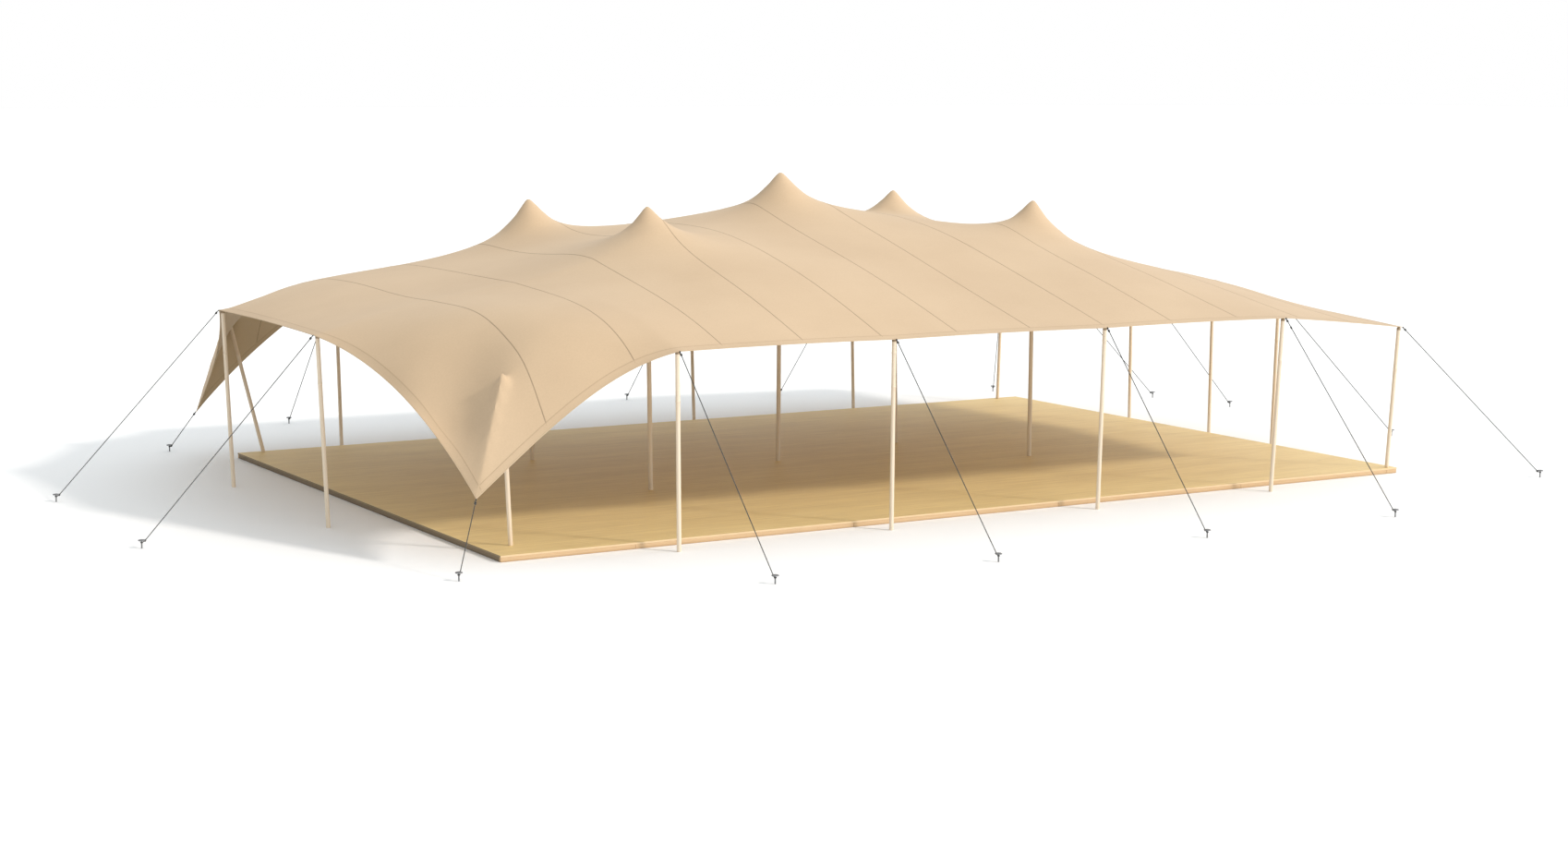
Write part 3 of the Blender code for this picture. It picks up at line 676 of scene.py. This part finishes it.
def rim_side(names, count):
    """One side of the rim as a row of points, one for each grid line that meets it."""
    stops = rim_stops(names, count)
    row = []
    for start, end, first, last in zip(names, names[1:], stops, stops[1:]):
        part = np.linspace(0.0, 1.0, last - first + 1)[:, None]
        straight = (1 - part) * np.array(RIM[start]) + part * np.array(RIM[end])
        bowed = straight + span_bow(start, end, part)
        row += list(bowed[:-1])
    row.append(np.array(RIM[names[-1]]))
    return np.array(row)


def plan_grid(front, back, left, right):
    """Plan position of each grid node, blended between the four sides."""
    u = np.linspace(0.0, 1.0, GRID_X + 1)[:, None, None]
    v = np.linspace(0.0, 1.0, GRID_Y + 1)[None, :, None]
    grid = (1 - v) * front[:, None] + v * back[:, None] + (1 - u) * left[None] + u * right[None]
    grid -= (1 - u) * (1 - v) * front[0] + u * (1 - v) * front[-1]
    grid -= (1 - u) * v * back[0] + u * v * back[-1]
    return grid[..., 0], grid[..., 1]


def relax(height, held, crown, spring, rounds, speed=1.95):
    """Let a stretched net settle: each free node moves to the mean of its neighbours."""
    across, along = np.indices(height.shape)
    free = np.zeros(height.shape, bool)
    free[1:-1, 1:-1] = True
    free &= ~held
    colours = [free & ((across + along) % 2 == parity) for parity in (0, 1)]
    for _ in range(rounds):
        for colour in colours:
            mean = height.copy()
            total = height[2:, 1:-1] + height[:-2, 1:-1] + height[1:-1, 2:] + height[1:-1, :-2]
            mean[1:-1, 1:-1] = (total + crown[1:-1, 1:-1]) / (4.0 + spring[1:-1, 1:-1])
            height = np.where(colour, height + speed * (mean - height), height)
    return height


def lifted(side, corner_first, anchor):
    """Rim heights as they would be with the low corner held up at the shoulder height."""
    side = side if corner_first else side[::-1]
    reach = np.hypot(anchor[0] - side[0, 0], anchor[1] - side[0, 1])
    share = np.hypot(side[:, 0] - side[0, 0], side[:, 1] - side[0, 1]) / reach
    level = SHOULDER_HEIGHT + (anchor[2] - SHOULDER_HEIGHT) * share
    height = np.where(share < 1.0, level, side[:, 2])
    return height if corner_first else height[::-1]


def fold_nodes(tip_name):
    """Grid nodes of the taut fold from a low tip to its bump: a diagonal of the grid."""
    count = np.arange(FOLD_NODES[tip_name] + 1)
    return (count, count if tip_name.startswith("front") else GRID_Y - count)


def eased(share):
    """Share from 0 to 1 with a soft start and end."""
    return share * share * (3 - 2 * share)


def patch(x, y, place_x, place_y, spread):
    """Smooth round patch of height 1 around one place in plan."""
    distance = np.hypot(x - place_x, y - place_y)
    return np.exp(-distance ** 2 / (2 * spread ** 2))


def line_up_folds(x, y):
    """Shift the net in each low corner, so that its diagonal lies on the fold."""
    across, along = np.indices(x.shape)
    for tip_name, bump in BUMPS.items():
        count = FOLD_NODES[tip_name]
        front = tip_name.startswith("front")
        rows = along if front else GRID_Y - along
        steps = np.arange(2 * count + 1)
        lines = steps if front else GRID_Y - steps
        place = np.stack([x[steps, lines], y[steps, lines]], axis=-1)
        tip = np.array(RIM[tip_name][:2])
        wanted = tip + (np.array(bump[:2]) - tip) * (steps / count)[:, None]
        shift = (wanted - place) * np.clip(2 - steps / count, 0, 1)[:, None]
        shift[count:] = shift[count] * np.clip(2 - steps[count:] / count, 0, 1)[:, None]
        along_fold = (across + rows) / 2
        beside = 1 - np.abs(across - rows) / np.maximum(across + rows, 1)
        near = along_fold < 2 * count
        x = x + near * beside * np.interp(along_fold, steps, shift[:, 0])
        y = y + near * beside * np.interp(along_fold, steps, shift[:, 1])
    return x, y


def slack(x, y):
    """0 in the flat facets beside each fold, and 1 elsewhere."""
    share = np.ones(x.shape)
    for tip_name, (bump_x, bump_y, _) in BUMPS.items():
        run = np.array(RIM[tip_name][:2]) - np.array((bump_x, bump_y))
        run /= np.hypot(*run)
        down = (x - bump_x) * run[0] + (y - bump_y) * run[1]
        share *= eased(np.clip(-down / FLAT_FADE, 0.0, 1.0))
    return share


def peak_cap(name, x, y, rounding=PEAK_ROUND, lift=0.0):
    """Height of the steep tip of one peak above a place in plan."""
    peak_x, peak_y, peak_z = PEAKS[name]
    curve, slope, tilt = PEAK_FLANKS[name]
    distance = np.hypot(x - peak_x, y - peak_y)
    run = np.hypot(distance, rounding) - PEAK_ROUND - lift
    lean = tilt * (x - peak_x) * np.exp(-distance / TILT_REACH)
    return peak_z - curve * np.log(1 + run / PEAK_BEND) - slope * run - lean


def fabric_surface():
    """Height of the fabric over a fine grid: peaks first, then the falling corners."""
    front = rim_side(FRONT_SIDE, GRID_X)
    back = rim_side(BACK_SIDE, GRID_X)
    left = rim_side(LEFT_SIDE, GRID_Y)
    right = rim_side(RIGHT_SIDE, GRID_Y)
    x, y = line_up_folds(*plan_grid(front, back, left, right))
    loose = slack(x, y)

    high = np.full(x.shape, SHOULDER_HEIGHT)
    high[:, 0] = lifted(front, True, RIM["front_1"])
    high[:, -1] = lifted(back, True, RIM["back_4"])
    left_high = left.copy()
    left_high[:, 2] = lifted(left, True, RIM["left_2"])
    high[0, :] = lifted(left_high, False, RIM["left_1"])
    high[-1, :] = right[:, 2]
    crown = np.full(x.shape, CROWN)
    for place_x, values in CROWN_COLUMNS.items():
        for place_y, value in zip(CROWN_ROWS, values):
            crown += value * patch(x, y, place_x, place_y, CROWN_SPREAD)
    held = np.zeros(x.shape, bool)
    for peak_name, (peak_x, peak_y, _) in PEAKS.items():
        cap = np.hypot(x - peak_x, y - peak_y) < PEAK_CAP
        held |= cap
        high[cap] = peak_cap(peak_name, x[cap], y[cap])
        fullness, tilt = PEAK_FULLNESS[peak_name]
        share = fullness + tilt * (x - peak_x) / PEAK_SPREAD
        crown += share * patch(x, y, peak_x, peak_y, PEAK_SPREAD)
    for place_x, place_y, value in SHOULDERS:
        crown += value * patch(x, y, place_x, place_y, SHOULDER_SPREAD)
    high = relax(high, held, loose * crown * CELL ** 2, np.zeros(x.shape), 400)

    fall = np.zeros(x.shape)
    fall[:, 0] = high[:, 0] - front[:, 2]
    fall[:, -1] = high[:, -1] - back[:, 2]
    fall[0, :] = high[0, :] - left[:, 2]
    held = np.zeros(x.shape, bool)
    for tip_name, bump in BUMPS.items():
        nodes = fold_nodes(tip_name)
        held[nodes] = True
        share = np.linspace(0.0, 1.0, len(nodes[0]))
        tip_z = RIM[tip_name][2]
        fall[nodes] = high[nodes] - (tip_z + (bump[2] - tip_z) * share)
    sag = np.zeros(x.shape)
    for place_x, place_y, value in HOLLOWS:
        sag += value * patch(x, y, place_x, place_y, HOLLOW_SPREAD)
    fall = relax(fall, held, sag * CELL ** 2, loose * (CELL / CORNER_REACH) ** 2, 150)
    return np.stack([x, y, high - fall], axis=-1)


def line_stops(places, very_near, near, ends):
    """Mesh lines along one direction: cells are cut in four at the peaks and low corners."""
    count = len(places) - 1
    stops = []
    for index in range(count):
        middle = (places[index] + places[index + 1]) / 2
        parts = 1
        if any(low < middle < high for low, high in near):
            parts = 2
        if any(abs(middle - place) < PEAK_NEAR for place in very_near):
            parts = 4
        if index < CORNER_CELLS or (ends == 2 and index >= count - CORNER_CELLS):
            parts = CORNER_PARTS
        stops += [index + part / parts for part in range(parts)]
    return np.array(stops + [float(count)])


def resample(values, stops, axis):
    """Smooth curve through the grid values, read at the given stops."""
    values = np.moveaxis(values, axis, 0)
    last = len(values) - 1
    base = np.minimum(stops.astype(int), last - 1)
    part = (stops - base)[:, None, None]
    first, second = values[base], values[base + 1]
    before = values[np.maximum(base - 1, 0)]
    before = np.where((base == 0)[:, None, None], 2 * first - second, before)
    after = values[np.minimum(base + 2, last)]
    after = np.where((base == last - 1)[:, None, None], 2 * second - first, after)
    result = first + 0.5 * part * (
        (second - before)
        + part * (2 * before - 5 * first + 4 * second - after)
        + part ** 2 * (3 * first - before - 3 * second + after)
    )
    return np.moveaxis(result, 0, axis)


def grid_normals(grid):
    normals = np.cross(np.gradient(grid, axis=0), np.gradient(grid, axis=1))
    return normals / np.linalg.norm(normals, axis=-1, keepdims=True)


def fine_fabric():
    """The fabric's upper face of the solid on a finer net, with rounded tips at the peaks."""
    grid = fabric_surface()
    peak_x = [peak[0] for peak in PEAKS.values()]
    peak_y = [peak[1] for peak in PEAKS.values()]
    near_x = [(-9.0, -5.6)] + [(place - 0.6, place + 0.6) for place in peak_x]
    near_y = [(-6.0, -3.9), (4.3, 6.2)] + [(place - 0.5, place + 0.5) for place in peak_y]
    stops_x = line_stops(grid[:, GRID_Y // 2, 0], peak_x, near_x, 1)
    stops_y = line_stops(grid[GRID_X // 2, :, 1], peak_y, near_y, 2)
    grid = resample(resample(grid, stops_x, 0), stops_y, 1)
    for peak_name, (peak_x, peak_y, _) in PEAKS.items():
        distance = np.hypot(grid[..., 0] - peak_x, grid[..., 1] - peak_y)
        share = eased(np.clip((PEAK_NEAR - distance) / PEAK_FADE, 0.0, 1.0))
        tip = peak_cap(peak_name, grid[..., 0], grid[..., 1], TIP_ROUND, TIP_LIFT)
        grid[..., 2] += share * (tip - grid[..., 2])
    for tip_name, bump in BUMPS.items():
        nodes = fold_mesh_nodes(tip_name, len(stops_y))
        share = np.linspace(0.0, 1.0, len(nodes[0]))[:, None]
        grid[nodes] = (1 - share) * np.array(RIM[tip_name]) + share * np.array(bump)
        distance = np.hypot(grid[..., 0] - bump[0], grid[..., 1] - bump[1])
        foot = np.exp(-(distance / BUMP_FOOT) ** 2)
        grid[..., 2] += BUMP_TIP * (np.exp(-distance / BUMP_REACH) - foot)
    return grid, stops_x, stops_y


def fold_mesh_nodes(tip_name, columns):
    """Nodes of the fine net on the taut fold from a low tip to its bump."""
    count = np.arange(FOLD_NODES[tip_name] * CORNER_PARTS + 1)
    return (count, count if tip_name.startswith("front") else columns - 1 - count)


def make_canopy(grid, normals, stops_x, stops_y, material):
    """The sheet itself, closed round its rim."""
    rows, columns = grid.shape[:2]
    upper = (grid - normals * FABRIC_TOP).reshape(-1, 3)
    lower = (grid - normals * FABRIC_THICKNESS).reshape(-1, 3)
    count = rows * columns
    number = np.arange(count).reshape(rows, columns)
    quads = np.stack(
        [number[:-1, :-1], number[1:, :-1], number[1:, 1:], number[:-1, 1:]], axis=-1
    ).reshape(-1, 4)
    loop = list(number[:-1, 0]) + list(number[-1, :-1])
    loop += list(number[:0:-1, -1]) + list(number[0, :0:-1])
    loop = [int(index) for index in loop]
    quads = quads.tolist()
    for tip_name in BUMPS:
        across, along = fold_mesh_nodes(tip_name, columns)
        step = 1 if tip_name.startswith("front") else -1
        for i, j in zip(across[:-1], along[:-1]):
            cell = int(i * (columns - 1) + (j if step == 1 else j - 1))
            a, b, c, d = quads[cell]
            halves = ([a, b, c], [a, c, d]) if step == 1 else ([b, c, d], [b, d, a])
            quads[cell] = halves
    upper_faces = []
    for quad in quads:
        upper_faces += [quad] if isinstance(quad, list) else list(quad)
    faces = upper_faces + [[index + count for index in face[::-1]] for face in upper_faces]
    for here, after in zip(loop, loop[1:] + loop[:1]):
        faces.append((after, here, here + count, after + count))
    metres = np.meshgrid(stops_x * CELL, stops_y * CELL, indexing="ij")
    uvs = np.stack(metres, axis=-1).reshape(-1, 2)
    shape = (np.concatenate([upper, lower]), faces, np.concatenate([uvs, uvs]))
    return add_piece("canopy_fabric", shape, material, 55)


HEM_SECTION = (
    (HEM_WIDTH, 0.0014), (HEM_WIDTH - 0.001, 0.0034), (0.060, 0.0036), (0.012, 0.0036),
    (0.003, 0.0052), (-0.003, 0.0046), (-0.0055, 0.0), (-0.003, -0.0046), (0.003, -0.0052),
    (0.012, -0.0036), (0.060, -0.0036), (HEM_WIDTH - 0.001, -0.0034), (HEM_WIDTH, -0.0014),
)


def hem_strip(rows):
    """Folded hem along one side: rows holds, for each station, the sheet's middle going inward."""
    points, uvs = [], []
    travelled = 0.0
    previous = None
    for station, normal in rows:
        steps = np.linalg.norm(np.diff(station, axis=0), axis=1)
        lengths = np.concatenate([[0.0], np.cumsum(steps)])
        edge_run = (station[1] - station[0]) / max(lengths[1], 1e-9)
        if previous is not None:
            travelled += float(np.linalg.norm(station[0] - previous))
        previous = station[0]
        for inward, rise in HEM_SECTION:
            if inward <= 0:
                place = station[0] + edge_run * inward
                up = normal[0]
            else:
                place = np.array([np.interp(inward, lengths, station[:, k]) for k in range(3)])
                up = np.array([np.interp(inward, lengths, normal[:, k]) for k in range(3)])
                up /= np.linalg.norm(up)
            points.append(place + up * rise)
            uvs.append((travelled, inward))
    return points, ring_faces(len(rows), len(HEM_SECTION)), uvs


def make_hem(grid, normals, material):
    """Hem round the whole rim, one strip for each side."""
    middle = grid - normals * (FABRIC_TOP + FABRIC_THICKNESS) / 2
    depth = HEM_NODES
    front = [(middle[i, :depth], normals[i, :depth]) for i in range(grid.shape[0])]
    back = [(middle[i, ::-1][:depth], normals[i, ::-1][:depth]) for i in range(grid.shape[0])]
    left = [(middle[:depth, j], normals[:depth, j]) for j in range(grid.shape[1])]
    right = [(middle[::-1, j][:depth], normals[::-1, j][:depth]) for j in range(grid.shape[1])]
    strips = [hem_strip(rows) for rows in (front, back[::-1], left[::-1], right)]
    return add_piece("canopy_hem", joined(strips), material, 50)


def make_seams(tree, front, back, material):
    """Overlapped seams between the fabric's panels, as flat raised strips on both faces."""
    half_fabric = (FABRIC_THICKNESS - FABRIC_TOP) / 2
    section = (
        (-SEAM_HALF, half_fabric + 0.0003), (-SEAM_HALF * 0.8, half_fabric + 0.0013),
        (0.0, half_fabric + 0.0016), (SEAM_HALF * 0.8, half_fabric + 0.0013),
        (SEAM_HALF, half_fabric + 0.0003), (SEAM_HALF, -half_fabric - 0.0003),
        (0.0, -half_fabric - 0.0016), (-SEAM_HALF, -half_fabric - 0.0003),
    )
    parts = []
    for number in range(SEAM_COUNT):
        x = SEAM_START + SEAM_STEP * number
        start = np.interp(x, front[:, 0], front[:, 1]) + HEM_WIDTH * 0.25
        end = np.interp(x, back[:, 0], back[:, 1]) - HEM_WIDTH * 0.25
        line = []
        for y in np.arange(start, end, SEAM_PITCH):
            hit, normal, _, _ = tree.ray_cast(Vector((x, y, 9.0)), Vector((0, 0, -1)))
            if hit is not None:
                line.append((np.array(hit), np.array(normal)))
        ups = np.array([normal for _, normal in line])
        spread = np.ones(SEAM_EVEN) / SEAM_EVEN
        ends = SEAM_EVEN // 2
        padded = np.pad(ups, ((ends, ends), (0, 0)), mode="edge")
        ups = np.stack([np.convolve(padded[:, k], spread, "valid") for k in range(3)], axis=1)
        ups /= np.linalg.norm(ups, axis=1, keepdims=True)
        places = np.array([hit for hit, _ in line]) - ups * half_fabric
        runs = np.gradient(places, axis=0)
        sides = np.cross(runs, ups)
        sides /= np.linalg.norm(sides, axis=1, keepdims=True)
        points, uvs = [], []
        travelled = 0.0
        for index, (place, up, side) in enumerate(zip(places, ups, sides)):
            if index:
                travelled += float(np.linalg.norm(place - places[index - 1]))
            for aside, rise in section:
                points.append(place + side * aside + up * rise)
                uvs.append((travelled, aside))
        parts.append((points, ring_faces(len(places), len(section)), uvs))
    return add_piece("canopy_seams", joined(parts), material, 50)


# ---- poles, ropes and stakes ----


def node_points(name):
    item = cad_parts[name]
    points = np.empty(len(item.data.vertices) * 3)
    item.data.vertices.foreach_get("co", points)
    points = points.reshape(-1, 3)
    world = np.array(item.matrix_world)
    return points @ world[:3, :3].T + world[:3, 3]


def rod_ends(points):
    """Middle of the lowest ring, and the point farthest from it."""
    foot = points[points[:, 2] < points[:, 2].min() + 1e-4].mean(axis=0)
    tip = points[np.argmax(np.linalg.norm(points - foot, axis=1))]
    return Vector(foot), Vector(tip)


def seated_length(start, axis, length, radius, tree):
    """Length at which a rod's round end just touches the fabric."""
    reach = length - 0.12
    while reach < length + 0.05:
        if tree.find_nearest(start + axis * reach)[3] <= radius + 0.0002:
            break
        reach += 0.0005
    return reach


COLLARS = {
    "pole_front_2": (0.17, 0.62),
    "pole_front_3": (0.17,),
    "pole_front_4": (0.60,),
    "pole_front_1": (0.62,),
}


def make_pole(name, tree, wood, rubber, seed):
    """Turned wooden pole with a joint collar, a rubber cap under the fabric and a foot narrowed by
    wear.
    """
    foot, tip = rod_ends(node_points(name))
    radius = INNER_POLE_RADIUS if "inner" in name else POLE_RADIUS
    axis = (tip - foot).normalized()
    length = seated_length(foot, axis, (tip - foot).length, radius, tree)
    random = np.random.default_rng(seed)
    profile = [(0.0, radius * 0.90), (0.004, radius * 0.97), (0.012, radius * 0.985)]
    shaft = length - CAP_LENGTH
    heights = np.linspace(0.08, shaft - 0.02, 26)
    wobble = np.convolve(random.normal(0.0, 0.010, 30), np.ones(5) / 5, "valid")
    for height, change in zip(heights, wobble):
        profile.append((height, radius * (0.985 - 0.02 * height / length + change)))
    for below in COLLARS.get(name, (0.62,)):
        middle = length - below
        profile = [pair for pair in profile if abs(pair[0] - middle) > 0.03]
        for rise, grow in ((-0.014, 0.0), (-0.011, 0.0022), (0.011, 0.0022), (0.014, 0.0)):
            profile.append((middle + rise, radius * 0.975 + grow))
    profile.append((shaft + 0.01, radius * 0.94))
    profile.sort()
    shape = lathe(foot, axis, profile, POLE_SIDES)
    pole = add_piece(name + "_wood", shape, wood, 40)
    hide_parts(name)
    round_top = [(shaft, radius * 0.96), (shaft + 0.003, radius), (length - 0.002, radius)]
    for step in range(1, 7):
        rise = 0.5 * math.pi * step / 6.5
        round_top.append((length + radius * math.sin(rise), radius * math.cos(rise)))
    shape = lathe(foot, axis, round_top, POLE_SIDES)
    add_piece(name + "_cap", shape, rubber, 40)


def ring_path(centre, axis, radius, turns, rise, per_turn=14):
    side, other = ring_frame(axis)
    path = []
    for index in range(int(turns * per_turn) + 1):
        turn = 2 * math.pi * index / per_turn
        spoke = side * math.cos(turn) + other * math.sin(turn)
        path.append(centre + spoke * radius + axis * (rise * index / (turns * per_turn)))
    return path


def make_guy(name, rope_look, stake_look, fitting_look):
    """Rope, knots, stake and the ring at the fabric's rim, in the place of one CAD node."""
    points = node_points(name)
    foot = points[points[:, 2] < points[:, 2].min() + 1e-4].mean(axis=0)
    stake = Vector((float(foot[0]), float(foot[1]), 0.0))
    tip = Vector(points[np.argmax(points[:, 2])])
    towards = Vector((tip.x - stake.x, tip.y - stake.y, 0.0)).normalized()
    knot = stake + towards * KNOT_REACH + Vector((0.0, 0.0, KNOT_HEIGHT))
    axis = (tip - knot).normalized()
    length = (tip - knot).length
    count = 24
    path = [knot + axis * (length * index / count) for index in range(count + 1)]
    rope = tube(path, ROPE_RADIUS, 10)
    upward = Vector((0.0, 0.0, 1.0))
    loop = tube(ring_path(stake + upward * LOOP_HEIGHT, upward, 0.0145, 2.0, 0.008), 0.0036, 8)
    link = tube([stake + towards * 0.014 + upward * (LOOP_HEIGHT + 0.004), knot], 0.0045, 8)
    wraps = tube(ring_path(knot - axis * 0.006, axis, 0.0100, 3.0, 0.024), 0.0052, 8)
    top_wraps = tube(ring_path(tip - axis * 0.075, axis, 0.0105, 3.0, 0.032), 0.0052, 8)
    shape = joined([rope, loop, link, wraps, top_wraps])
    line = add_piece(name + "_rope", shape, rope_look, 50)
    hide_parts(name)
    profile = (
        (0.0, 0.0075), (0.004, 0.0098), (0.088, 0.0100), (0.0950, 0.0120), (0.0965, 0.0260),
        (0.0972, 0.0390), (0.0995, 0.0450), (0.1035, 0.0470), (0.1085, 0.0455), (0.1130, 0.0390),
        (0.1165, 0.0230), (STAKE_HEIGHT, 0.0050),
    )
    shape = lathe(stake, upward, profile, STAKE_SIDES)
    add_piece(name + "_stake", shape, stake_look, 35)
    ring = ring_path(tip - axis * 0.016, ring_frame(axis)[0], 0.013, 1.0, 0.0, 18)
    add_piece(name + "_eye", tube(ring, 0.0035, 8), fitting_look, 50)
    if name == "guy_front_4":
        place = tip - axis * 0.20
        profile = ((0.0, 0.008), (0.004, 0.0125), (0.036, 0.0125), (0.040, 0.008))
        shape = lathe(place, axis, profile, 16)
        add_piece(name + "_tensioner", shape, fitting_look, 40)


# ---- platform ----


def rounded_box(low, high, bevel, segments):
    """Points and faces of a box with rounded edges, made with a bevel."""
    shape = bmesh.new()
    bmesh.ops.create_cube(shape, size=1.0)
    size = Vector(high) - Vector(low)
    bmesh.ops.scale(shape, vec=size, verts=shape.verts[:])
    bmesh.ops.translate(shape, vec=(Vector(high) + Vector(low)) / 2, verts=shape.verts[:])
    bmesh.ops.bevel(
        shape, geom=shape.edges[:], offset=bevel, segments=segments, profile=0.5, affect="EDGES",
        clamp_overlap=True,
    )
    shape.verts.ensure_lookup_table()
    points = [vertex.co.copy() for vertex in shape.verts]
    faces = [tuple(vertex.index for vertex in face.verts) for face in shape.faces]
    shape.free()
    return points, faces, []


def make_platform(sheet_look, edge_look, shaded_side_look):
    """Plywood sheets with fine joints, over laminated edge boards."""
    half_x, half_y = DECK_LENGTH / 2, DECK_DEPTH / 2
    low_z, high_z = DECK_HEIGHT - FLOOR_THICKNESS, DECK_HEIGHT
    sheets = []
    joint = SHEET_JOINT / 2
    count_x, count_y = int(DECK_LENGTH / SHEET_LENGTH), int(DECK_DEPTH / SHEET_WIDTH)
    for column in range(count_x):
        for row in range(count_y):
            x0 = -half_x + column * SHEET_LENGTH + (joint if column else 0)
            x1 = -half_x + (column + 1) * SHEET_LENGTH - (joint if column < count_x - 1 else 0)
            y0 = -half_y + row * SHEET_WIDTH + (joint if row else 0)
            y1 = -half_y + (row + 1) * SHEET_WIDTH - (joint if row < count_y - 1 else 0)
            sheets.append(rounded_box((x0, y0, low_z), (x1, y1, high_z), SHEET_ROUND, 2))
    floor = add_piece("deck_sheets", joined(sheets), sheet_look, 12)
    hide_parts("deck_floor")
    top = low_z - 0.0006
    boards, side_boards = [], []
    board = BOARD_THICKNESS
    cuts_x = [-half_x, *FRONT_CUTS, half_x]
    for side in (-1, 1):
        y0, y1 = sorted((side * half_y, side * (half_y - board)))
        for start, end in zip(cuts_x, cuts_x[1:]):
            boards.append(rounded_box((start + 0.001, y0, 0.0), (end - 0.001, y1, top), 0.008, 3))
    cuts_y = [-half_y + board + 0.001, *SIDE_CUTS, half_y - board - 0.001]
    for side in (-1, 1):
        x0, x1 = sorted((side * half_x, side * (half_x - board)))
        for start, end in zip(cuts_y, cuts_y[1:]):
            low, high = (x0, start + 0.001, 0.0), (x1, end - 0.001, top)
            side_boards.append(rounded_box(low, high, 0.008, 3))
    for index in range(1, JOIST_BAYS):
        middle = -half_x + (DECK_LENGTH - board) * index / JOIST_BAYS + board / 2
        boards.append(rounded_box(
            (middle - board / 2, -half_y + board + 0.002, 0.0),
            (middle + board / 2, half_y - board - 0.002, top), 0.003, 1,
        ))
    edges = add_piece("deck_boards", joined(boards), edge_look, 12)
    # The side boards are drawn near black-brown: painted shade on the platform's ends
    add_piece("deck_side_boards", joined(side_boards), shaded_side_look, 12)
    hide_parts("deck_frame")


def make_ground():
    mesh = bpy.data.meshes.new("ground")
    reach, level = 400.0, -0.0008
    corners = ((-reach, -reach), (reach, -reach), (reach, reach), (-reach, reach))
    mesh.from_pydata([(x, y, level) for x, y in corners], [], [(0, 1, 2, 3)])
    made = Nodes("studio_floor", 0.9, 0.1)
    made.colour((*GROUND_TINT, 1.0))
    mesh.materials.append(made.material)
    item = bpy.data.objects.new("ground", mesh)
    bpy.context.collection.objects.link(item)


def main():
    make_camera()
    make_lights()
    make_ground()

    sheet_look = fabric_material("stretch_fabric", FABRIC_TINT, None)
    hem_look = fabric_material("hem_fabric", HEM_TINT, (0.010, 0.110, 0.116))
    seam_look = fabric_material("seam_fabric", SEAM_TINT, (-0.004, 0.004))
    grid, stops_x, stops_y = fine_fabric()
    normals = grid_normals(grid)
    canopy = make_canopy(grid, normals, stops_x, stops_y, sheet_look)
    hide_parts("canopy")
    mesh = canopy.data
    tree = BVHTree.FromPolygons(
        [vertex.co.copy() for vertex in mesh.vertices],
        [tuple(face.vertices) for face in mesh.polygons],
    )
    hem = make_hem(grid, normals, hem_look)
    seams = make_seams(tree, grid[:, 0], grid[:, -1], seam_look)

    wood = wood_material(
        "pole_timber", POLE_LIGHT, POLE_DARK, (26.0, 1.6, 1.0), (7.0, 0.55, 1.0), 0.5
    )
    rubber = plain_material("cap_rubber", RUBBER_TINT, 0.7, 0.0, 0.2)
    rope_look = rope_material()
    stake_look = plain_material("stake_grey", STAKE_TINT, 0.5, 0.2, 0.25)
    fitting = plain_material("fitting_steel", STEEL_TINT, 0.4, 0.6, 0.2)
    for seed, name in enumerate(sorted(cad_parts)):
        if name.startswith("pole_"):
            make_pole(name, tree, wood, rubber, seed)
        elif name.startswith("guy_"):
            make_guy(name, rope_look, stake_look, fitting)
    make_platform(
        plywood_material(),
        layered_material("edge_timber", EDGE_LIGHT, EDGE_DARK, LAYER),
        layered_material("side_timber_painted_shade", SIDE_SHADE_LIGHT, SIDE_SHADE_DEEP, LAYER),
    )


main()
